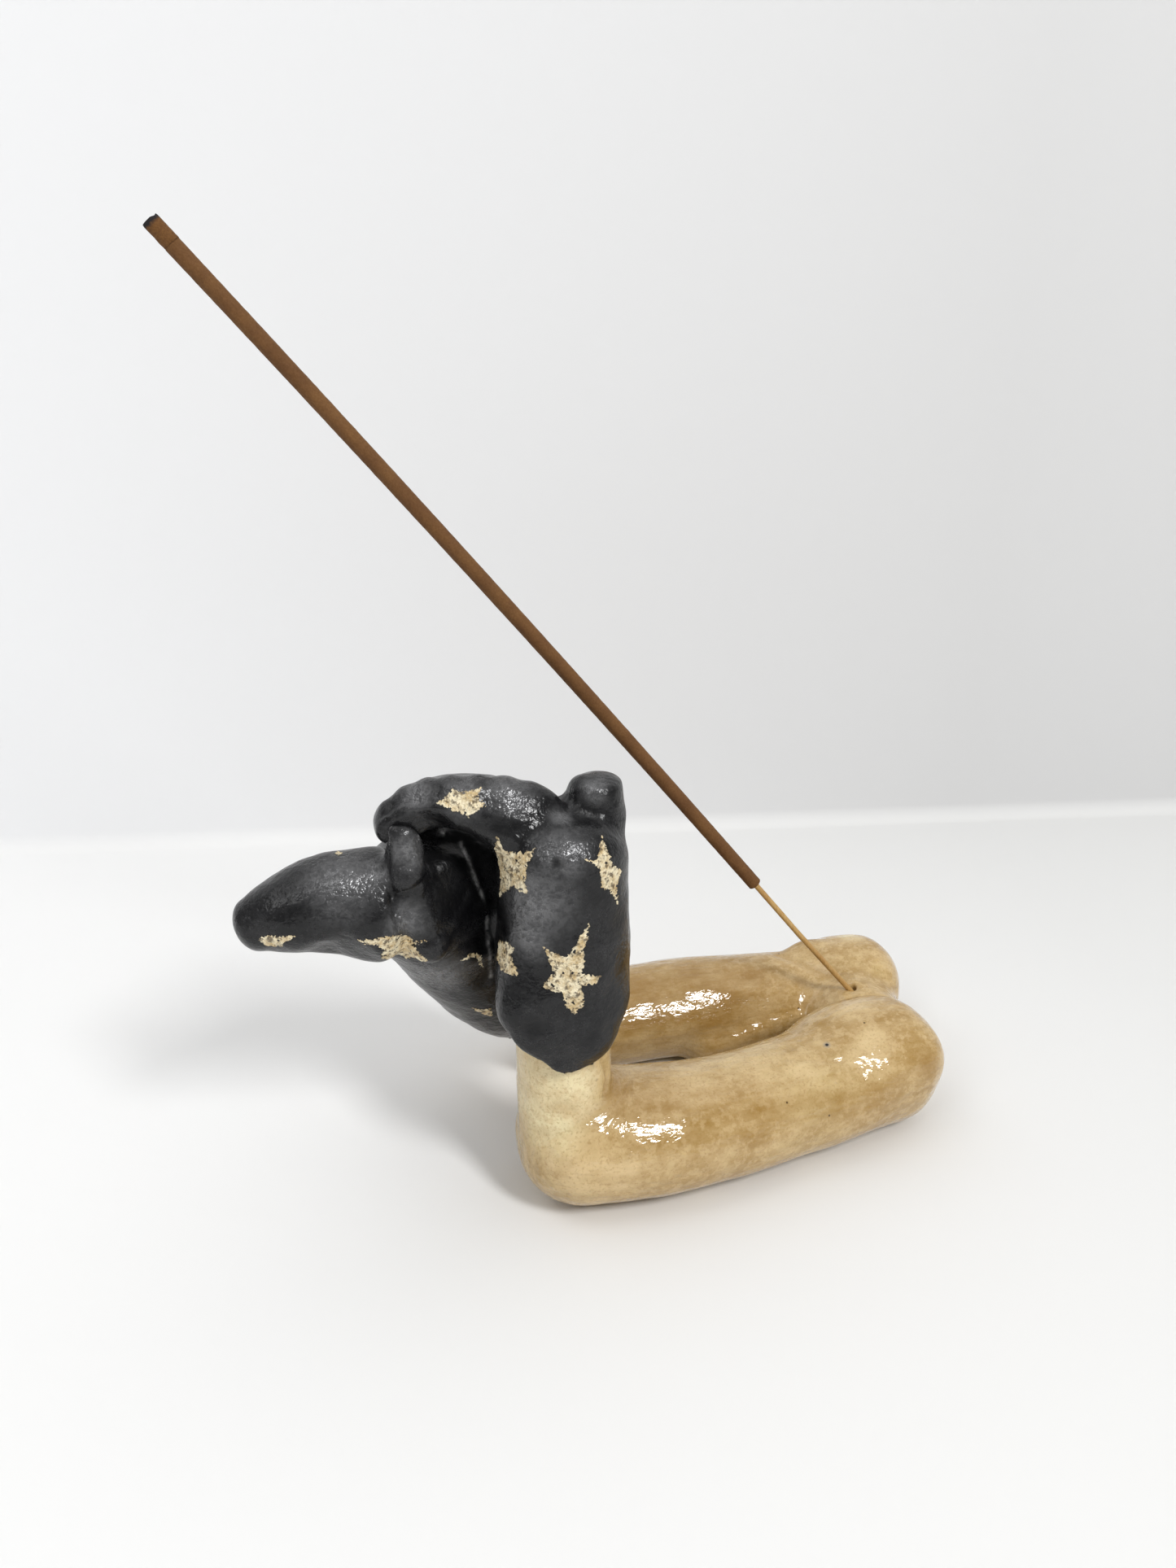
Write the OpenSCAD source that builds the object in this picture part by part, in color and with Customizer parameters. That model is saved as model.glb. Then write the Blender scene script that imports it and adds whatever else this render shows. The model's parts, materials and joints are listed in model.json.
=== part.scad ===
// Ceramic incense burner: a pair of legs lying prone, boots crossed in the air, and a stick of incense.
// X runs along the legs towards the hips, Y across them towards the far leg, Z up from the table.
// The origin is on the table, straight below the mouth of the stick's hole.

/* [Incense stick] */
// Length of the bamboo core
stick_len = 280; // [200:1:320]
// Diameter of the bamboo core
core_d = 1.7; // [1.2:0.1:2.4]
// Diameter of the incense coating
coating_d = 4; // [3:0.1:5]
// Bare bamboo below the coating
bare_len = 62; // [40:1:90]
// Length of the burnt tip
tip_len = 6; // [3:0.5:20]
// Diameter of the burnt end
tip_d = 3; // [2.6:0.1:4]
// How far the core stops short of the burnt end
tip_hollow = 1.5; // [0.5:0.1:2.5]
// Angle of the stick above the table
stick_rise = 49.5; // [47:0.5:54]
// Angle of the stick off the line of the legs
stick_swing = 4.5; // [2:0.5:8]

/* [Stick hole] */
// Height of the mouth of the hole above the table
saddle_h = 24; // [21:0.5:27]
// Diameter of the hole
socket_d = 3.3; // [2.8:0.1:4]
// Depth of the hole along its axis
socket_depth = 12; // [9:0.5:14]
// Gap between the stick and the side of the hole that it leans on
stick_gap = 0.05; // [0.02:0.01:0.1]

/* [Saddle between the hips] */
// Length of the saddle along the legs
saddle_len = 30; // [24:1:36]
// Width of the saddle across the hips
saddle_w = 26; // [20:1:32]

/* [Near leg] */
// Distance from the centre line to the near hip
near_hip_y = 26; // [24:0.5:29]
// How far the near hip reaches past the hole
near_hip_reach = 10; // [7:0.5:13]
// Height of the near hip
near_hip_d = 34; // [30:0.5:38]
// Height of the near thigh at the notch behind the hip
near_notch_d = 30; // [27:0.5:33]
// Height of the near thigh
near_thigh_d = 30; // [27:0.5:33]
// Height of the near knee
near_knee_d = 33; // [31:0.5:38]
// Distance from the hole back to the near shin
near_shin_back = 112.5; // [105:0.5:120]
// Angle of the near leg off the centre line
near_splay = 2.5; // [1.5:0.5:4]
// How far the near thigh bows outwards
near_bow = 4.5; // [2:0.5:6]
// Diameter of the near calf
near_calf_d = 23.5; // [20:0.5:27]
// Lean of the near calf away from the hips
near_calf_lean = 0; // [0:1:2]
// Lean of the near calf towards the far leg
near_calf_cross = 0; // [0:1:2]

/* [Far leg] */
// Distance from the centre line to the far hip
far_hip_y = 19; // [17:0.5:22]
// How far the far hip reaches past the hole
far_hip_reach = 26.5; // [24:0.5:29]
// Height of the far hip
far_hip_d = 29; // [26:0.5:34]
// Height of the far thigh at the notch behind the hip
far_notch_d = 26; // [23:0.5:30]
// Height of the far thigh
far_thigh_d = 28.5; // [24:0.5:32]
// Height of the far knee
far_knee_d = 28; // [25:0.5:32]
// How much nearer to the hole the far shin is than the near one
knee_stagger = 15; // [13:0.5:17]
// Angle of the far leg off the centre line
far_splay = 4; // [3:0.5:5]
// How far the far thigh bows outwards
far_bow = 0.5; // [0:0.5:2]
// Diameter of the far calf
far_calf_d = 23; // [20:0.5:25]
// Lean of the far calf away from the hips
far_calf_lean = 32; // [29:1:34]
// Lean of the far calf towards the near leg
far_calf_cross = 31; // [29:0.5:32.5]

/* [Clay] */
// Width of the coils on the table, settled under their own weight, over their height
slump_ratio = 1.14; // [1.05:0.01:1.25]
// How far inside the knee the front of a calf starts
shin_inset = 0.7; // [0.4:0.1:1.5]
// Depth that the coils are flattened by the table
flat = 0.5; // [0.3:0.1:1.2]

/* [Near boot] */
// Height of the near boot's rim above the table, at its lowest
near_rim_h = 45.5; // [43:0.5:48]
// Length of the near boot from its rim to the sole
near_shaft_len = 61; // [58:0.5:64]
// Diameter of the near boot's shaft
near_shaft_d = 31.5; // [29:0.5:33]
// Length of the near foot from the shaft's axis to the toe
near_foot_len = 42; // [39:1:46]
// Width of the near foot at the ball
near_foot_w = 19; // [17:0.5:21]
// Thickness of the near foot at the ball
near_foot_t = 9; // [8:0.5:10]
// Heading of the near toe
near_toe_heading = 160; // [156:1:164]
// Diameter of the near heel block
near_heel_d = 13; // [11:0.5:14]
// How far the near heel block stands above the end of the shaft
near_heel_h = 5; // [3:0.5:7]

/* [Far boot] */
// Height of the far boot's rim above the table, at its lowest
far_rim_h = 31; // [28:0.5:33]
// Length of the far boot from its rim to the sole
far_shaft_len = 80.5; // [76:0.5:82]
// Diameter of the far boot's shaft
far_shaft_d = 34; // [30:0.5:34]
// Length of the far foot from the shaft's axis to the toe
far_foot_len = 36; // [35:1:42]
// Depth of the far foot at the ball
far_foot_w = 20; // [17:0.5:22]
// Height of the far foot at the ball
far_foot_t = 22.5; // [21:0.5:25]
// Heading of the far toe
far_toe_heading = 175; // [170:1:180]
// Diameter of the far heel block
far_heel_d = 9.5; // [8.5:0.5:11]
// Length of the far heel block
far_heel_h = 17; // [14:0.5:20]

/* [Boot rims and stars] */
// Depth of the tongues on the rims
tongue = 17; // [14:0.5:19]
// Depth of the calf inside the boot, above the highest part of the rim
cup_depth = 6; // [4:0.5:9]
// Gap between a calf and its boot
slip_gap = 0.15; // [0.05:0.05:0.3]
// Thickness of a boot's rim
rim_t = 2; // [1.5:0.1:3]
// Length of a star's plain ray
star_size = 7; // [4:0.5:9]
// Thickness of the gold leaf
leaf_t = 0.25; // [0.15:0.05:0.5]

/* [Hidden] */
sides = 28;
steps = 3;
dome_steps = 4;
leaf_bed = 0.4;

cream = [0.80, 0.68, 0.47];
black_glaze = [0.10, 0.10, 0.11];
gold = [0.82, 0.74, 0.56];
bamboo = [0.78, 0.60, 0.34];
incense = [0.42, 0.25, 0.10];
char = [0.05, 0.04, 0.04];

// ---- Coils of clay
// A row is [x, y, z, half width, half height, heading of the coil].

function unit(v) = v / norm(v);
function mix(a, b, t) = a + (b - a) * t;
function place(row) = [row[0], row[1], row[2]];
function reversed(list) = [for (i = [len(list) - 1:-1:0]) list[i]];

// Catmull-Rom blend of four rows
function blend4(a, b, c, d, t) =
    0.5 * (2 * b + (c - a) * t + (2 * a - 5 * b + 4 * c - d) * t * t
           + (3 * b - a - 3 * c + d) * t * t * t);

function row_at(rows, u) =
    let (last = len(rows) - 1, i = max(0, min(floor(u), last - 1)))
    blend4(rows[max(i - 1, 0)], rows[i], rows[i + 1], rows[min(i + 2, last)], u - i);

function tangent_at(rows, u) =
    unit(place(row_at(rows, min(u + 0.01, len(rows) - 1))) - place(row_at(rows, max(u - 0.01, 0))));

// Level direction across a coil, at right angles to the way it runs
function across(heading, t) =
    let (s = [-sin(heading), cos(heading), 0])
    unit(s - (s * t) * t);

// A point on a coil's skin at an angle round it, lifted off the skin by a small amount
function skin(row, t, angle, lift = 0, shrink = 1) =
    let (s = across(row[5], t), up = cross(t, s))
    place(row) + s * (row[3] * shrink + lift) * cos(angle) + up * (row[4] * shrink + lift) * sin(angle);

function skin_at(rows, u, angle, lift = 0) =
    skin(row_at(rows, u), tangent_at(rows, u), angle, lift);

function angles() = [for (i = [0:sides - 1]) 360 * i / sides];
function ring(row, t, shrink = 1) = [for (a = angles()) skin(row, t, a, 0, shrink)];

// Rings that close the end of a coil like a dome, from its tip to its full section
function dome_rings(tip, full, t) =
    [for (i = [1:dome_steps])
        let (a = 90 * i / (dome_steps + 1), at = mix(place(tip), place(full), 1 - cos(a)))
        ring(concat(at, [full[3], full[4], full[5]]), t, sin(a))];

function mid_rings(rows, from, to) =
    [for (k = [0:(to - from) * steps])
        let (u = from + k / steps) ring(row_at(rows, u), tangent_at(rows, u))];

function end_dome(rows) =
    let (last = len(rows) - 1, t = unit(place(rows[last]) - place(rows[last - 1])))
    reversed(dome_rings(rows[last], rows[last - 1], t));

function start_dome(rows) = dome_rings(rows[0], rows[1], unit(place(rows[1]) - place(rows[0])));

// A coil with a dome at both ends
function coil_rings(rows) =
    concat(start_dome(rows), mid_rings(rows, 1, len(rows) - 2), end_dome(rows));

// A clay coil flattened where it lies on the table
function on_table(rings) = [for (r = rings) [for (p = r) [p[0], p[1], max(p[2], 0)]]];

module loft(rings) {
    count = len(rings);
    points = [for (r = rings) for (p = r) p];
    wall = [for (k = [0:count - 2]) for (i = [0:sides - 1])
        let (a = k * sides + i, b = k * sides + (i + 1) % sides, c = b + sides, d = a + sides)
        each [[a, c, b], [a, d, c]]];
    start = [for (i = [0:sides - 1]) i];
    end = [for (i = [sides - 1:-1:0]) (count - 1) * sides + i];
    polyhedron(points, concat([start], wall, [end]), convexity = 6);
}

// ---- Legs
// far is 1 for the far leg and -1 for the near one, and s runs from the end of the hip to the shin.

function on_leg(far, hip_y, reach, splay, s, z, bow = 0) =
    [(reach - s) * cos(splay), far * (hip_y + (s - reach) * sin(splay) + bow), z];

function leg_row(far, hip_y, reach, splay, bow, s, d) =
    concat(on_leg(far, hip_y, reach, splay, s, d / 2 - flat, bow),
           [d / 2 * slump_ratio, d / 2, 180 - far * splay]);

function leg_rows(far, hip_y, reach, splay, bow, len, hip_d, notch_d, thigh_d, knee_d) = [
    leg_row(far, hip_y, reach, splay, 0, 0, hip_d),
    leg_row(far, hip_y, reach, splay, 0, hip_d * 0.42, hip_d),
    leg_row(far, hip_y, reach, splay, 0, hip_d * 0.75, hip_d),
    leg_row(far, hip_y, reach, splay, bow * 0.6, hip_d * 1.2, notch_d),
    leg_row(far, hip_y, reach, splay, bow, len * 0.55, thigh_d),
    leg_row(far, hip_y, reach, splay, bow * 0.9, len * 0.72, mix(thigh_d, knee_d, 0.6)),
    leg_row(far, hip_y, reach, splay, 0, len - knee_d * 0.5, knee_d),
    leg_row(far, hip_y, reach, splay, -bow * 0.3, len, knee_d)];
notch = 3;

// Length of each leg from the end of the hip to the shin
near_leg_len = near_hip_reach + near_shin_back;
far_leg_len = far_hip_reach + near_shin_back - knee_stagger;

near_rows = leg_rows(-1, near_hip_y, near_hip_reach, near_splay, near_bow, near_leg_len,
                     near_hip_d, near_notch_d, near_thigh_d, near_knee_d);
far_rows = leg_rows(1, far_hip_y, far_hip_reach, far_splay, far_bow, far_leg_len,
                    far_hip_d, far_notch_d, far_thigh_d, far_knee_d);

// Way up a calf, from its lean away from the hips and its lean towards the other leg
function calf_way(far, splay, lean, crossing) =
    unit([-cos(splay) * tan(lean) - sin(splay) * tan(crossing),
          far * (sin(splay) * tan(lean) - cos(splay) * tan(crossing)), 1]);

near_way = calf_way(-1, near_splay, near_calf_lean, near_calf_cross);
far_way = calf_way(1, far_splay, far_calf_lean, far_calf_cross);
near_foot_of_calf = on_leg(-1, near_hip_y, near_hip_reach, near_splay,
                           near_leg_len - near_calf_d / 2 - shin_inset, near_knee_d / 2);
far_foot_of_calf = on_leg(1, far_hip_y, far_hip_reach, far_splay,
                          far_leg_len - far_calf_d / 2 - shin_inset, far_knee_d / 2);

// Distances along a calf to its boot's rim at its lowest, and to the floor of the boot's cup
near_rim = (near_rim_h - near_foot_of_calf[2]) / near_way[2];
far_rim = (far_rim_h - far_foot_of_calf[2]) / far_way[2];
near_cup = near_rim + tongue + cup_depth;
far_cup = far_rim + tongue + cup_depth;

function calf_rows(base, way, heading, len, d) =
    [for (f = [0, 0.3, 0.65, 1]) concat(base + way * len * f, [d / 2, d / 2, heading])];

module calf_form(base, way, heading, len, d) { loft(mid_rings(calf_rows(base, way, heading, len, d), 0, 3)); }

module thigh(rows) {
    last = len(rows) - 1;
    loft(on_table(concat(mid_rings(rows, notch, last - 1), end_dome(rows))));
}

module hip(rows) { loft(on_table(concat(start_dome(rows), mid_rings(rows, 1, notch)))); }

module leg_form(rows) { loft(on_table(coil_rings(rows))); }

module near_hip() {
    color(cream) difference() {
        hip(near_rows);
        saddle_form();
    }
}

module far_hip() {
    color(cream) difference() {
        hip(far_rows);
        saddle_form();
    }
}

module near_thigh() {
    color(cream) difference() {
        thigh(near_rows);
        saddle_form();
    }
}

module far_thigh() {
    color(cream) difference() {
        thigh(far_rows);
        saddle_form();
    }
}

module near_calf() {
    color(cream) difference() {
        calf_form(near_foot_of_calf, near_way, 180 + near_splay, near_cup, near_calf_d);
        leg_form(near_rows);
    }
}

module far_calf() {
    color(cream) difference() {
        calf_form(far_foot_of_calf, far_way, 180 - far_splay, far_cup, far_calf_d);
        leg_form(far_rows);
    }
}

// ---- Saddle with the hole for the stick

stick_way = [-cos(stick_rise) * cos(stick_swing), cos(stick_rise) * sin(stick_swing), sin(stick_rise)];
mouth = [0, 0, saddle_h];

saddle_rows = [for (f = [-0.5, -0.36, 0, 0.36, 0.5])
    [saddle_len * 0.1, saddle_w * f, saddle_h / 2, saddle_len / 2, saddle_h / 2 + flat, 0]];

// Ellipse lying across the hips, widest along the legs
function saddle_ring(row, shrink) =
    [for (a = angles())
        [row[0] - row[3] * shrink * cos(a), row[1], row[2] - flat + row[4] * shrink * sin(a)]];

module saddle_form() {
    loft(on_table([for (i = [0:4]) saddle_ring(saddle_rows[i], [0.8, 0.95, 1, 0.95, 0.8][i])]));
}

module hip_bridge() {
    color(cream) difference() {
        saddle_form();
        translate(mouth - stick_way * socket_depth)
            rotate([0, 90 - stick_rise, 180 - stick_swing])
                cylinder(d = socket_d, h = socket_depth * 2, $fn = 48);
    }
}

// ---- Boots

// Height of the rim above its lowest point, at an angle round the boot: two tongues, at the sides
function rim_rise(angle) = tongue * pow(sin(angle), 2);

// Radius of a shaft at the rows above its rim, as shares of its diameter
shaft_shape = [0.5, 0.51, 0.49, 0.49, 0.49];

// Rows up a shaft, a fifth of its length apart, the last one at the tip of the dome
function shaft_rows(base, way, heading, rim, len, d, calf_d) = [
    for (i = [0:5])
        let (r = i == 0 ? calf_d / 2 + rim_t + slip_gap : d * shaft_shape[i - 1])
        concat(base + way * (rim + len * 0.2 * i), [r, r, heading])];

near_shaft_rows = shaft_rows(near_foot_of_calf, near_way, 180 + near_splay, near_rim,
                             near_shaft_len, near_shaft_d, near_calf_d);
far_shaft_rows = shaft_rows(far_foot_of_calf, far_way, 180 - far_splay, far_rim,
                            far_shaft_len, far_shaft_d, far_calf_d);

// A point on a shaft's skin, u rows up from the rim; the dome runs from row 4 to row 5
function on_shaft(rows, way, u, angle, lift = 0) =
    u < 4 ? skin(row_at(rows, u), way, angle, lift)
          : skin(mix(rows[4], rows[5], u - 4), way, angle, lift, sqrt(1 - pow(min(u, 5) - 4, 2)));

function shaft_dome(rows, way) = reversed(dome_rings(rows[5], rows[4], way));

// A shaft with a cup in its lower end for the calf
module shaft(rows, way, base, rim, cup, calf_d) {
    bore = calf_d / 2 + slip_gap;
    row_len = norm(place(rows[1]) - place(rows[0]));
    function inner(dist, a) = skin(concat(base + way * dist, [bore, bore, rows[0][5]]), way, a);
    levels = 10;
    loft(concat(
        [for (f = [0, 0.5, 0.96]) [for (a = angles()) inner(mix(cup, rim + rim_rise(a), f), a)]],
        [for (k = [0:levels]) [for (a = angles())
            on_shaft(rows, way, mix(rim_rise(a) / row_len, 4, k / levels), a)]],
        shaft_dome(rows, way)));
}

module near_boot_shaft() {
    color(black_glaze) shaft(near_shaft_rows, near_way, near_foot_of_calf, near_rim, near_cup, near_calf_d);
}

module far_boot_shaft() {
    color(black_glaze) difference() {
        shaft(far_shaft_rows, far_way, far_foot_of_calf, far_rim, far_cup, far_calf_d);
        near_shaft_form();
        near_foot_form();
    }
}

module shaft_form(rows, way) { loft(concat(mid_rings(rows, 1, 4), shaft_dome(rows, way))); }

module near_shaft_form() { shaft_form(near_shaft_rows, near_way); }

module far_shaft_form() { shaft_form(far_shaft_rows, far_way); }

// Foot shapes, row by row: distance from the shaft's axis and height of the sole over the shaft's end,
// as shares of the foot's length, and thickness and width as shares of those at the ball
near_foot_shape = [
    [-0.05, -0.024, 2.2, 1.15], [0.1, 0.02, 2.1, 1.2], [0.32, 0.12, 1.75, 1.1], [0.5, 0.143, 1.35, 1],
    [0.7, 0.114, 1.15, 1], [0.92, -0.005, 1, 0.9], [1, -0.033, 1, 0.9]];
far_foot_shape = [
    [-0.1, 0.086, 1.2, 1.3], [0.1, 0.097, 1.2, 1.3], [0.35, 0.1, 1.1, 1.12], [0.55, 0.064, 0.98, 1],
    [0.73, -0.025, 0.8, 0.88], [0.88, -0.136, 0.58, 0.66], [1, -0.206, 0.48, 0.6]];

function foot_rows(root, heading, len, w, t, shape) =
    [for (s = shape)
        [root[0] + cos(heading) * len * s[0], root[1] + sin(heading) * len * s[0],
         root[2] + len * s[1] - t * s[2] / 2, w / 2 * s[3], t / 2 * s[2], heading]];

near_sole = near_foot_of_calf + near_way * (near_rim + near_shaft_len);
far_sole = far_foot_of_calf + far_way * (far_rim + far_shaft_len);
near_foot_rows = foot_rows(near_sole, near_toe_heading, near_foot_len, near_foot_w, near_foot_t,
                           near_foot_shape);
far_foot_rows = foot_rows(far_sole, far_toe_heading, far_foot_len, far_foot_w, far_foot_t,
                          far_foot_shape);

module near_foot_form() { loft(coil_rings(near_foot_rows)); }

module far_foot_form() { loft(coil_rings(far_foot_rows)); }

module near_boot_foot() {
    color(black_glaze) difference() {
        near_foot_form();
        near_shaft_form();
    }
}

module far_boot_foot() {
    color(black_glaze) difference() {
        far_foot_form();
        far_shaft_form();
        near_foot_form();
    }
}

near_heel_at = near_sole + [cos(near_splay), sin(near_splay), 0] * (near_shaft_d / 2 - near_heel_d / 2);
// The far boot lies on its side, so its heel block stands off the side of the shaft's end, by these shares
// of the shaft's diameter
far_heel_shift = [0.053, -0.19, 0.153];
far_heel_at = far_sole + far_heel_shift * far_shaft_d;

module heel_form(at, d, h, depth) {
    loft(coil_rings([for (f = [-1, -0.8, 0, 0.7, 1])
        concat(at + [0, 0, f > 0 ? h * f : depth * f], [d / 2, d / 2, 180])]));
}

module near_boot_heel() {
    color(black_glaze) difference() {
        heel_form(near_heel_at, near_heel_d, near_heel_h, near_heel_h * 2);
        near_shaft_form();
        near_foot_form();
    }
}

module far_boot_heel() {
    color(black_glaze) difference() {
        heel_form(far_heel_at, far_heel_d, far_heel_h / 2, far_heel_h / 2);
        far_shaft_form();
        far_foot_form();
        near_foot_form();
    }
}

// ---- Gold leaf stars

// Outline of a five-pointed star cut by eye, its first ray the long one
function star_outline(size, long, turn) =
    let (tips = [for (k = [0:9])
            let (r = size * (k % 2 == 1 ? 0.44 : k == 0 ? long : 1 - 0.12 * (k % 4) / 2), a = turn + 36 * k)
            r * [cos(a), sin(a)]])
    [for (k = [0:9]) for (f = [0, 0.5]) mix(tips[k], tips[(k + 1) % 10], f)];

// A star of leaf pressed onto a skin. at(u, angle, lift) gives the skin, row_len and r its size in mm.
module star(at, row_len, r, u, angle, size, long, turn) {
    outline = star_outline(size, long, turn);
    count = len(outline);
    levels = [0.5, 1];
    function lay(p, lift) = at(u + p[1] / row_len, angle + p[0] / r * 180 / PI, lift);
    points = [for (lift = [-leaf_bed, leaf_t])
        each concat([lay([0, 0], lift)], [for (f = levels) for (p = outline) lay(p * f, lift)])];
    side = 1 + 2 * count;
    fan = [for (i = [0:count - 1]) [0, 1 + i, 1 + (i + 1) % count]];
    band = [for (i = [0:count - 1])
        let (a = 1 + i, b = 1 + (i + 1) % count, c = b + count, d = a + count)
        each [[a, d, c], [a, c, b]]];
    rim = [for (i = [0:count - 1])
        let (a = 1 + count + i, b = 1 + count + (i + 1) % count, c = b + side, d = a + side)
        each [[a, c, b], [a, d, c]]];
    under = concat(fan, band);
    over = [for (f = under) [f[2] + side, f[1] + side, f[0] + side]];
    polyhedron(points, concat(under, over, rim), convexity = 4);
}

// Stars on a shaft or a foot: [row, angle round it, share of the size, long ray, turn]
near_shaft_stars = [[2.1, -15, 1.05, 2.1, 75], [3.95, -62, 1, 1.1, 100],
                    [3.95, 24, 1, 1.15, 100], [2.2, -68, 0.7, 1.1, 50]];
near_foot_stars = [[3, 30, 0.8, 1.1, 20]];
far_shaft_stars = [[4.1, -42, 1.15, 1.2, 90], [1.9, -27, 0.43, 1.1, 30], [3.4, 2, 0.36, 1.1, 70]];
far_foot_stars = [[4.2, -14, 0.7, 1.2, 160]];

module stars_on_shaft(rows, way, list) {
    at = function (u, angle, lift) on_shaft(rows, way, u, angle, lift);
    for (s = list)
        star(at, norm(place(rows[1]) - place(rows[0])), rows[2][3],
             s[0], s[1], s[2] * star_size, s[3], s[4]);
}

module stars_on_foot(rows, list) {
    at = function (u, angle, lift) skin_at(rows, u, angle, lift);
    for (s = list)
        star(at, norm(place(rows[3]) - place(rows[2])), row_at(rows, s[0])[4],
             s[0], s[1], s[2] * star_size, s[3], s[4]);
}

module near_boot_stars() {
    color(gold) difference() {
        union() {
            stars_on_shaft(near_shaft_rows, near_way, near_shaft_stars);
            stars_on_foot(near_foot_rows, near_foot_stars);
        }
        near_boot_shaft();
        near_foot_form();
    }
}

module far_boot_stars() {
    color(gold) difference() {
        union() {
            stars_on_shaft(far_shaft_rows, far_way, far_shaft_stars);
            stars_on_foot(far_foot_rows, far_foot_stars);
        }
        far_boot_shaft();
        far_foot_form();
    }
}

// ---- Incense stick

module along_stick(from) {
    side = [cos(stick_swing) * sin(stick_rise), -sin(stick_swing) * sin(stick_rise), cos(stick_rise)];
    lean = socket_d / 2 - core_d / 2 - stick_gap;
    translate(mouth - side * lean + stick_way * (from - socket_depth))
        rotate([0, 90 - stick_rise, 180 - stick_swing])
            children();
}

module bamboo_core() {
    color(bamboo) along_stick(0) cylinder(d = core_d, h = stick_len - tip_hollow, $fn = 32);
}

module incense_coating() {
    color(incense) along_stick(bare_len)
        difference() {
            cylinder(d = coating_d, h = stick_len - bare_len - tip_len, $fn = 48);
            translate([0, 0, -1]) cylinder(d = core_d, h = stick_len, $fn = 32);
        }
}

module charred_tip() {
    color(char) along_stick(stick_len - tip_len)
        difference() {
            cylinder(d1 = coating_d, d2 = tip_d, h = tip_len, $fn = 48);
            translate([0, 0, -1]) cylinder(d = core_d, h = tip_len + 2, $fn = 32);
        }
}

near_hip();
near_thigh();
near_calf();
far_hip();
far_thigh();
far_calf();
hip_bridge();
near_boot_shaft();
near_boot_foot();
near_boot_heel();
far_boot_shaft();
far_boot_foot();
far_boot_heel();
near_boot_stars();
far_boot_stars();
bamboo_core();
incense_coating();
charred_tip();
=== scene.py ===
import json
import math

import bmesh
import bpy
import numpy as np
from mathutils import Matrix, Vector, noise
from mathutils.bvhtree import BVHTree
from mathutils.kdtree import KDTree


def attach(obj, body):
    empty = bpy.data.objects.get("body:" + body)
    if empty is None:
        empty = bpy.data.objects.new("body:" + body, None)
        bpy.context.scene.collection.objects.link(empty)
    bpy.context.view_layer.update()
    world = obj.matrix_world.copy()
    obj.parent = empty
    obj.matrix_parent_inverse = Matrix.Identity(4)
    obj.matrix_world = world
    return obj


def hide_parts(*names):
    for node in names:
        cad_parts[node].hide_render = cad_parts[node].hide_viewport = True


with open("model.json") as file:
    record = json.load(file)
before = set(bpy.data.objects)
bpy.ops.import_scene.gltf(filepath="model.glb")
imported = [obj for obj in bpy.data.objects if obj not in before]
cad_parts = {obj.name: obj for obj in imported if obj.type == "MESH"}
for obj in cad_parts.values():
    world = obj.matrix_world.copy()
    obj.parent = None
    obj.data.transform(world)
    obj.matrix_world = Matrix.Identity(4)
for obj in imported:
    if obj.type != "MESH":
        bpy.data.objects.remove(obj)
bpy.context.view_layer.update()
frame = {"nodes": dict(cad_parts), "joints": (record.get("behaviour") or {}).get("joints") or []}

mm = 0.001
least = 1e-12  # keeps divisions safe

# Marks are pixels of this view, cast from its eye; lengths in the dictionaries are in millimetres.
viewpoint = {
    "eye": (-0.1752, -0.2676, 0.2015),  # metres
    "heading": 19.0,  # degrees from +Y towards +X
    "dip": 20.0,  # degrees below the horizon
    "lens": 27.03,
    "sensor": 36.0,
    "pixels": (1445, 1927),
}


def addThing(name, data):
    thing = bpy.data.objects.new(name, data)
    bpy.context.scene.collection.objects.link(thing)
    return thing


def aimed(thing, place, way):
    # a camera or lamp at this place that looks this way
    thing.location = place
    thing.rotation_mode = "QUATERNION"
    thing.rotation_quaternion = way.to_track_quat("-Z", "Y")
    return thing


def makeCamera():
    heading, dip = math.radians(viewpoint["heading"]), math.radians(viewpoint["dip"])
    look = Vector((math.sin(heading) * math.cos(dip), math.cos(heading) * math.cos(dip), -math.sin(dip)))
    data = bpy.data.cameras.new("tableCamera")
    data.lens = viewpoint["lens"]
    data.sensor_width = viewpoint["sensor"]
    return aimed(addThing("tableCamera", data), viewpoint["eye"], look)


camera = makeCamera()
bpy.context.scene.camera = camera
eye = Vector(viewpoint["eye"])
slide = Vector(frame["joints"][0]["axis"]).normalized()  # the stick slides along itself


def sightLine(x, y):
    # the direction in which a pixel is seen
    wide, high = viewpoint["pixels"]
    focal = viewpoint["lens"] / viewpoint["sensor"] * high
    way = Vector(((x - wide / 2) / focal, (high / 2 - y) / focal, -1))
    return (camera.rotation_quaternion @ way).normalized()


print("camera set")

# What all the clay shares
clay = {
    "noiseStep": (7.3, 3.1, 5.7),  # how far one seed's noise lies from the next
    "footPrint": 2.0,  # lumps fade out below this height
    "coarse": 1.5,  # a plumped lump's voxels against its skin's
    "solidFade": 1.6,  # where a solid's nearness ends, in reaches
    "tuckMargin": 1.2,
    "tuckDepth": 1.0,
    "tuckFade": 1.5,  # where tucking ends, in margins
    "tuckSearch": 3,
}


def addPiece(name, mesh, material=None):
    if material:
        mesh.materials.clear()
        mesh.materials.append(material)
    return addThing(name, mesh)


def applied(piece):
    # the piece as its modifiers leave it, as a plain mesh
    bpy.context.view_layer.update()
    shaped = piece.evaluated_get(bpy.context.evaluated_depsgraph_get())
    mesh = bpy.data.meshes.new_from_object(shaped)
    piece.modifiers.clear()
    piece.data = mesh
    return mesh


def remeshed(piece, voxel):
    remesh = piece.modifiers.new("clay", "REMESH")
    remesh.mode = "VOXEL"
    remesh.voxel_size = voxel
    return applied(piece)


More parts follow.
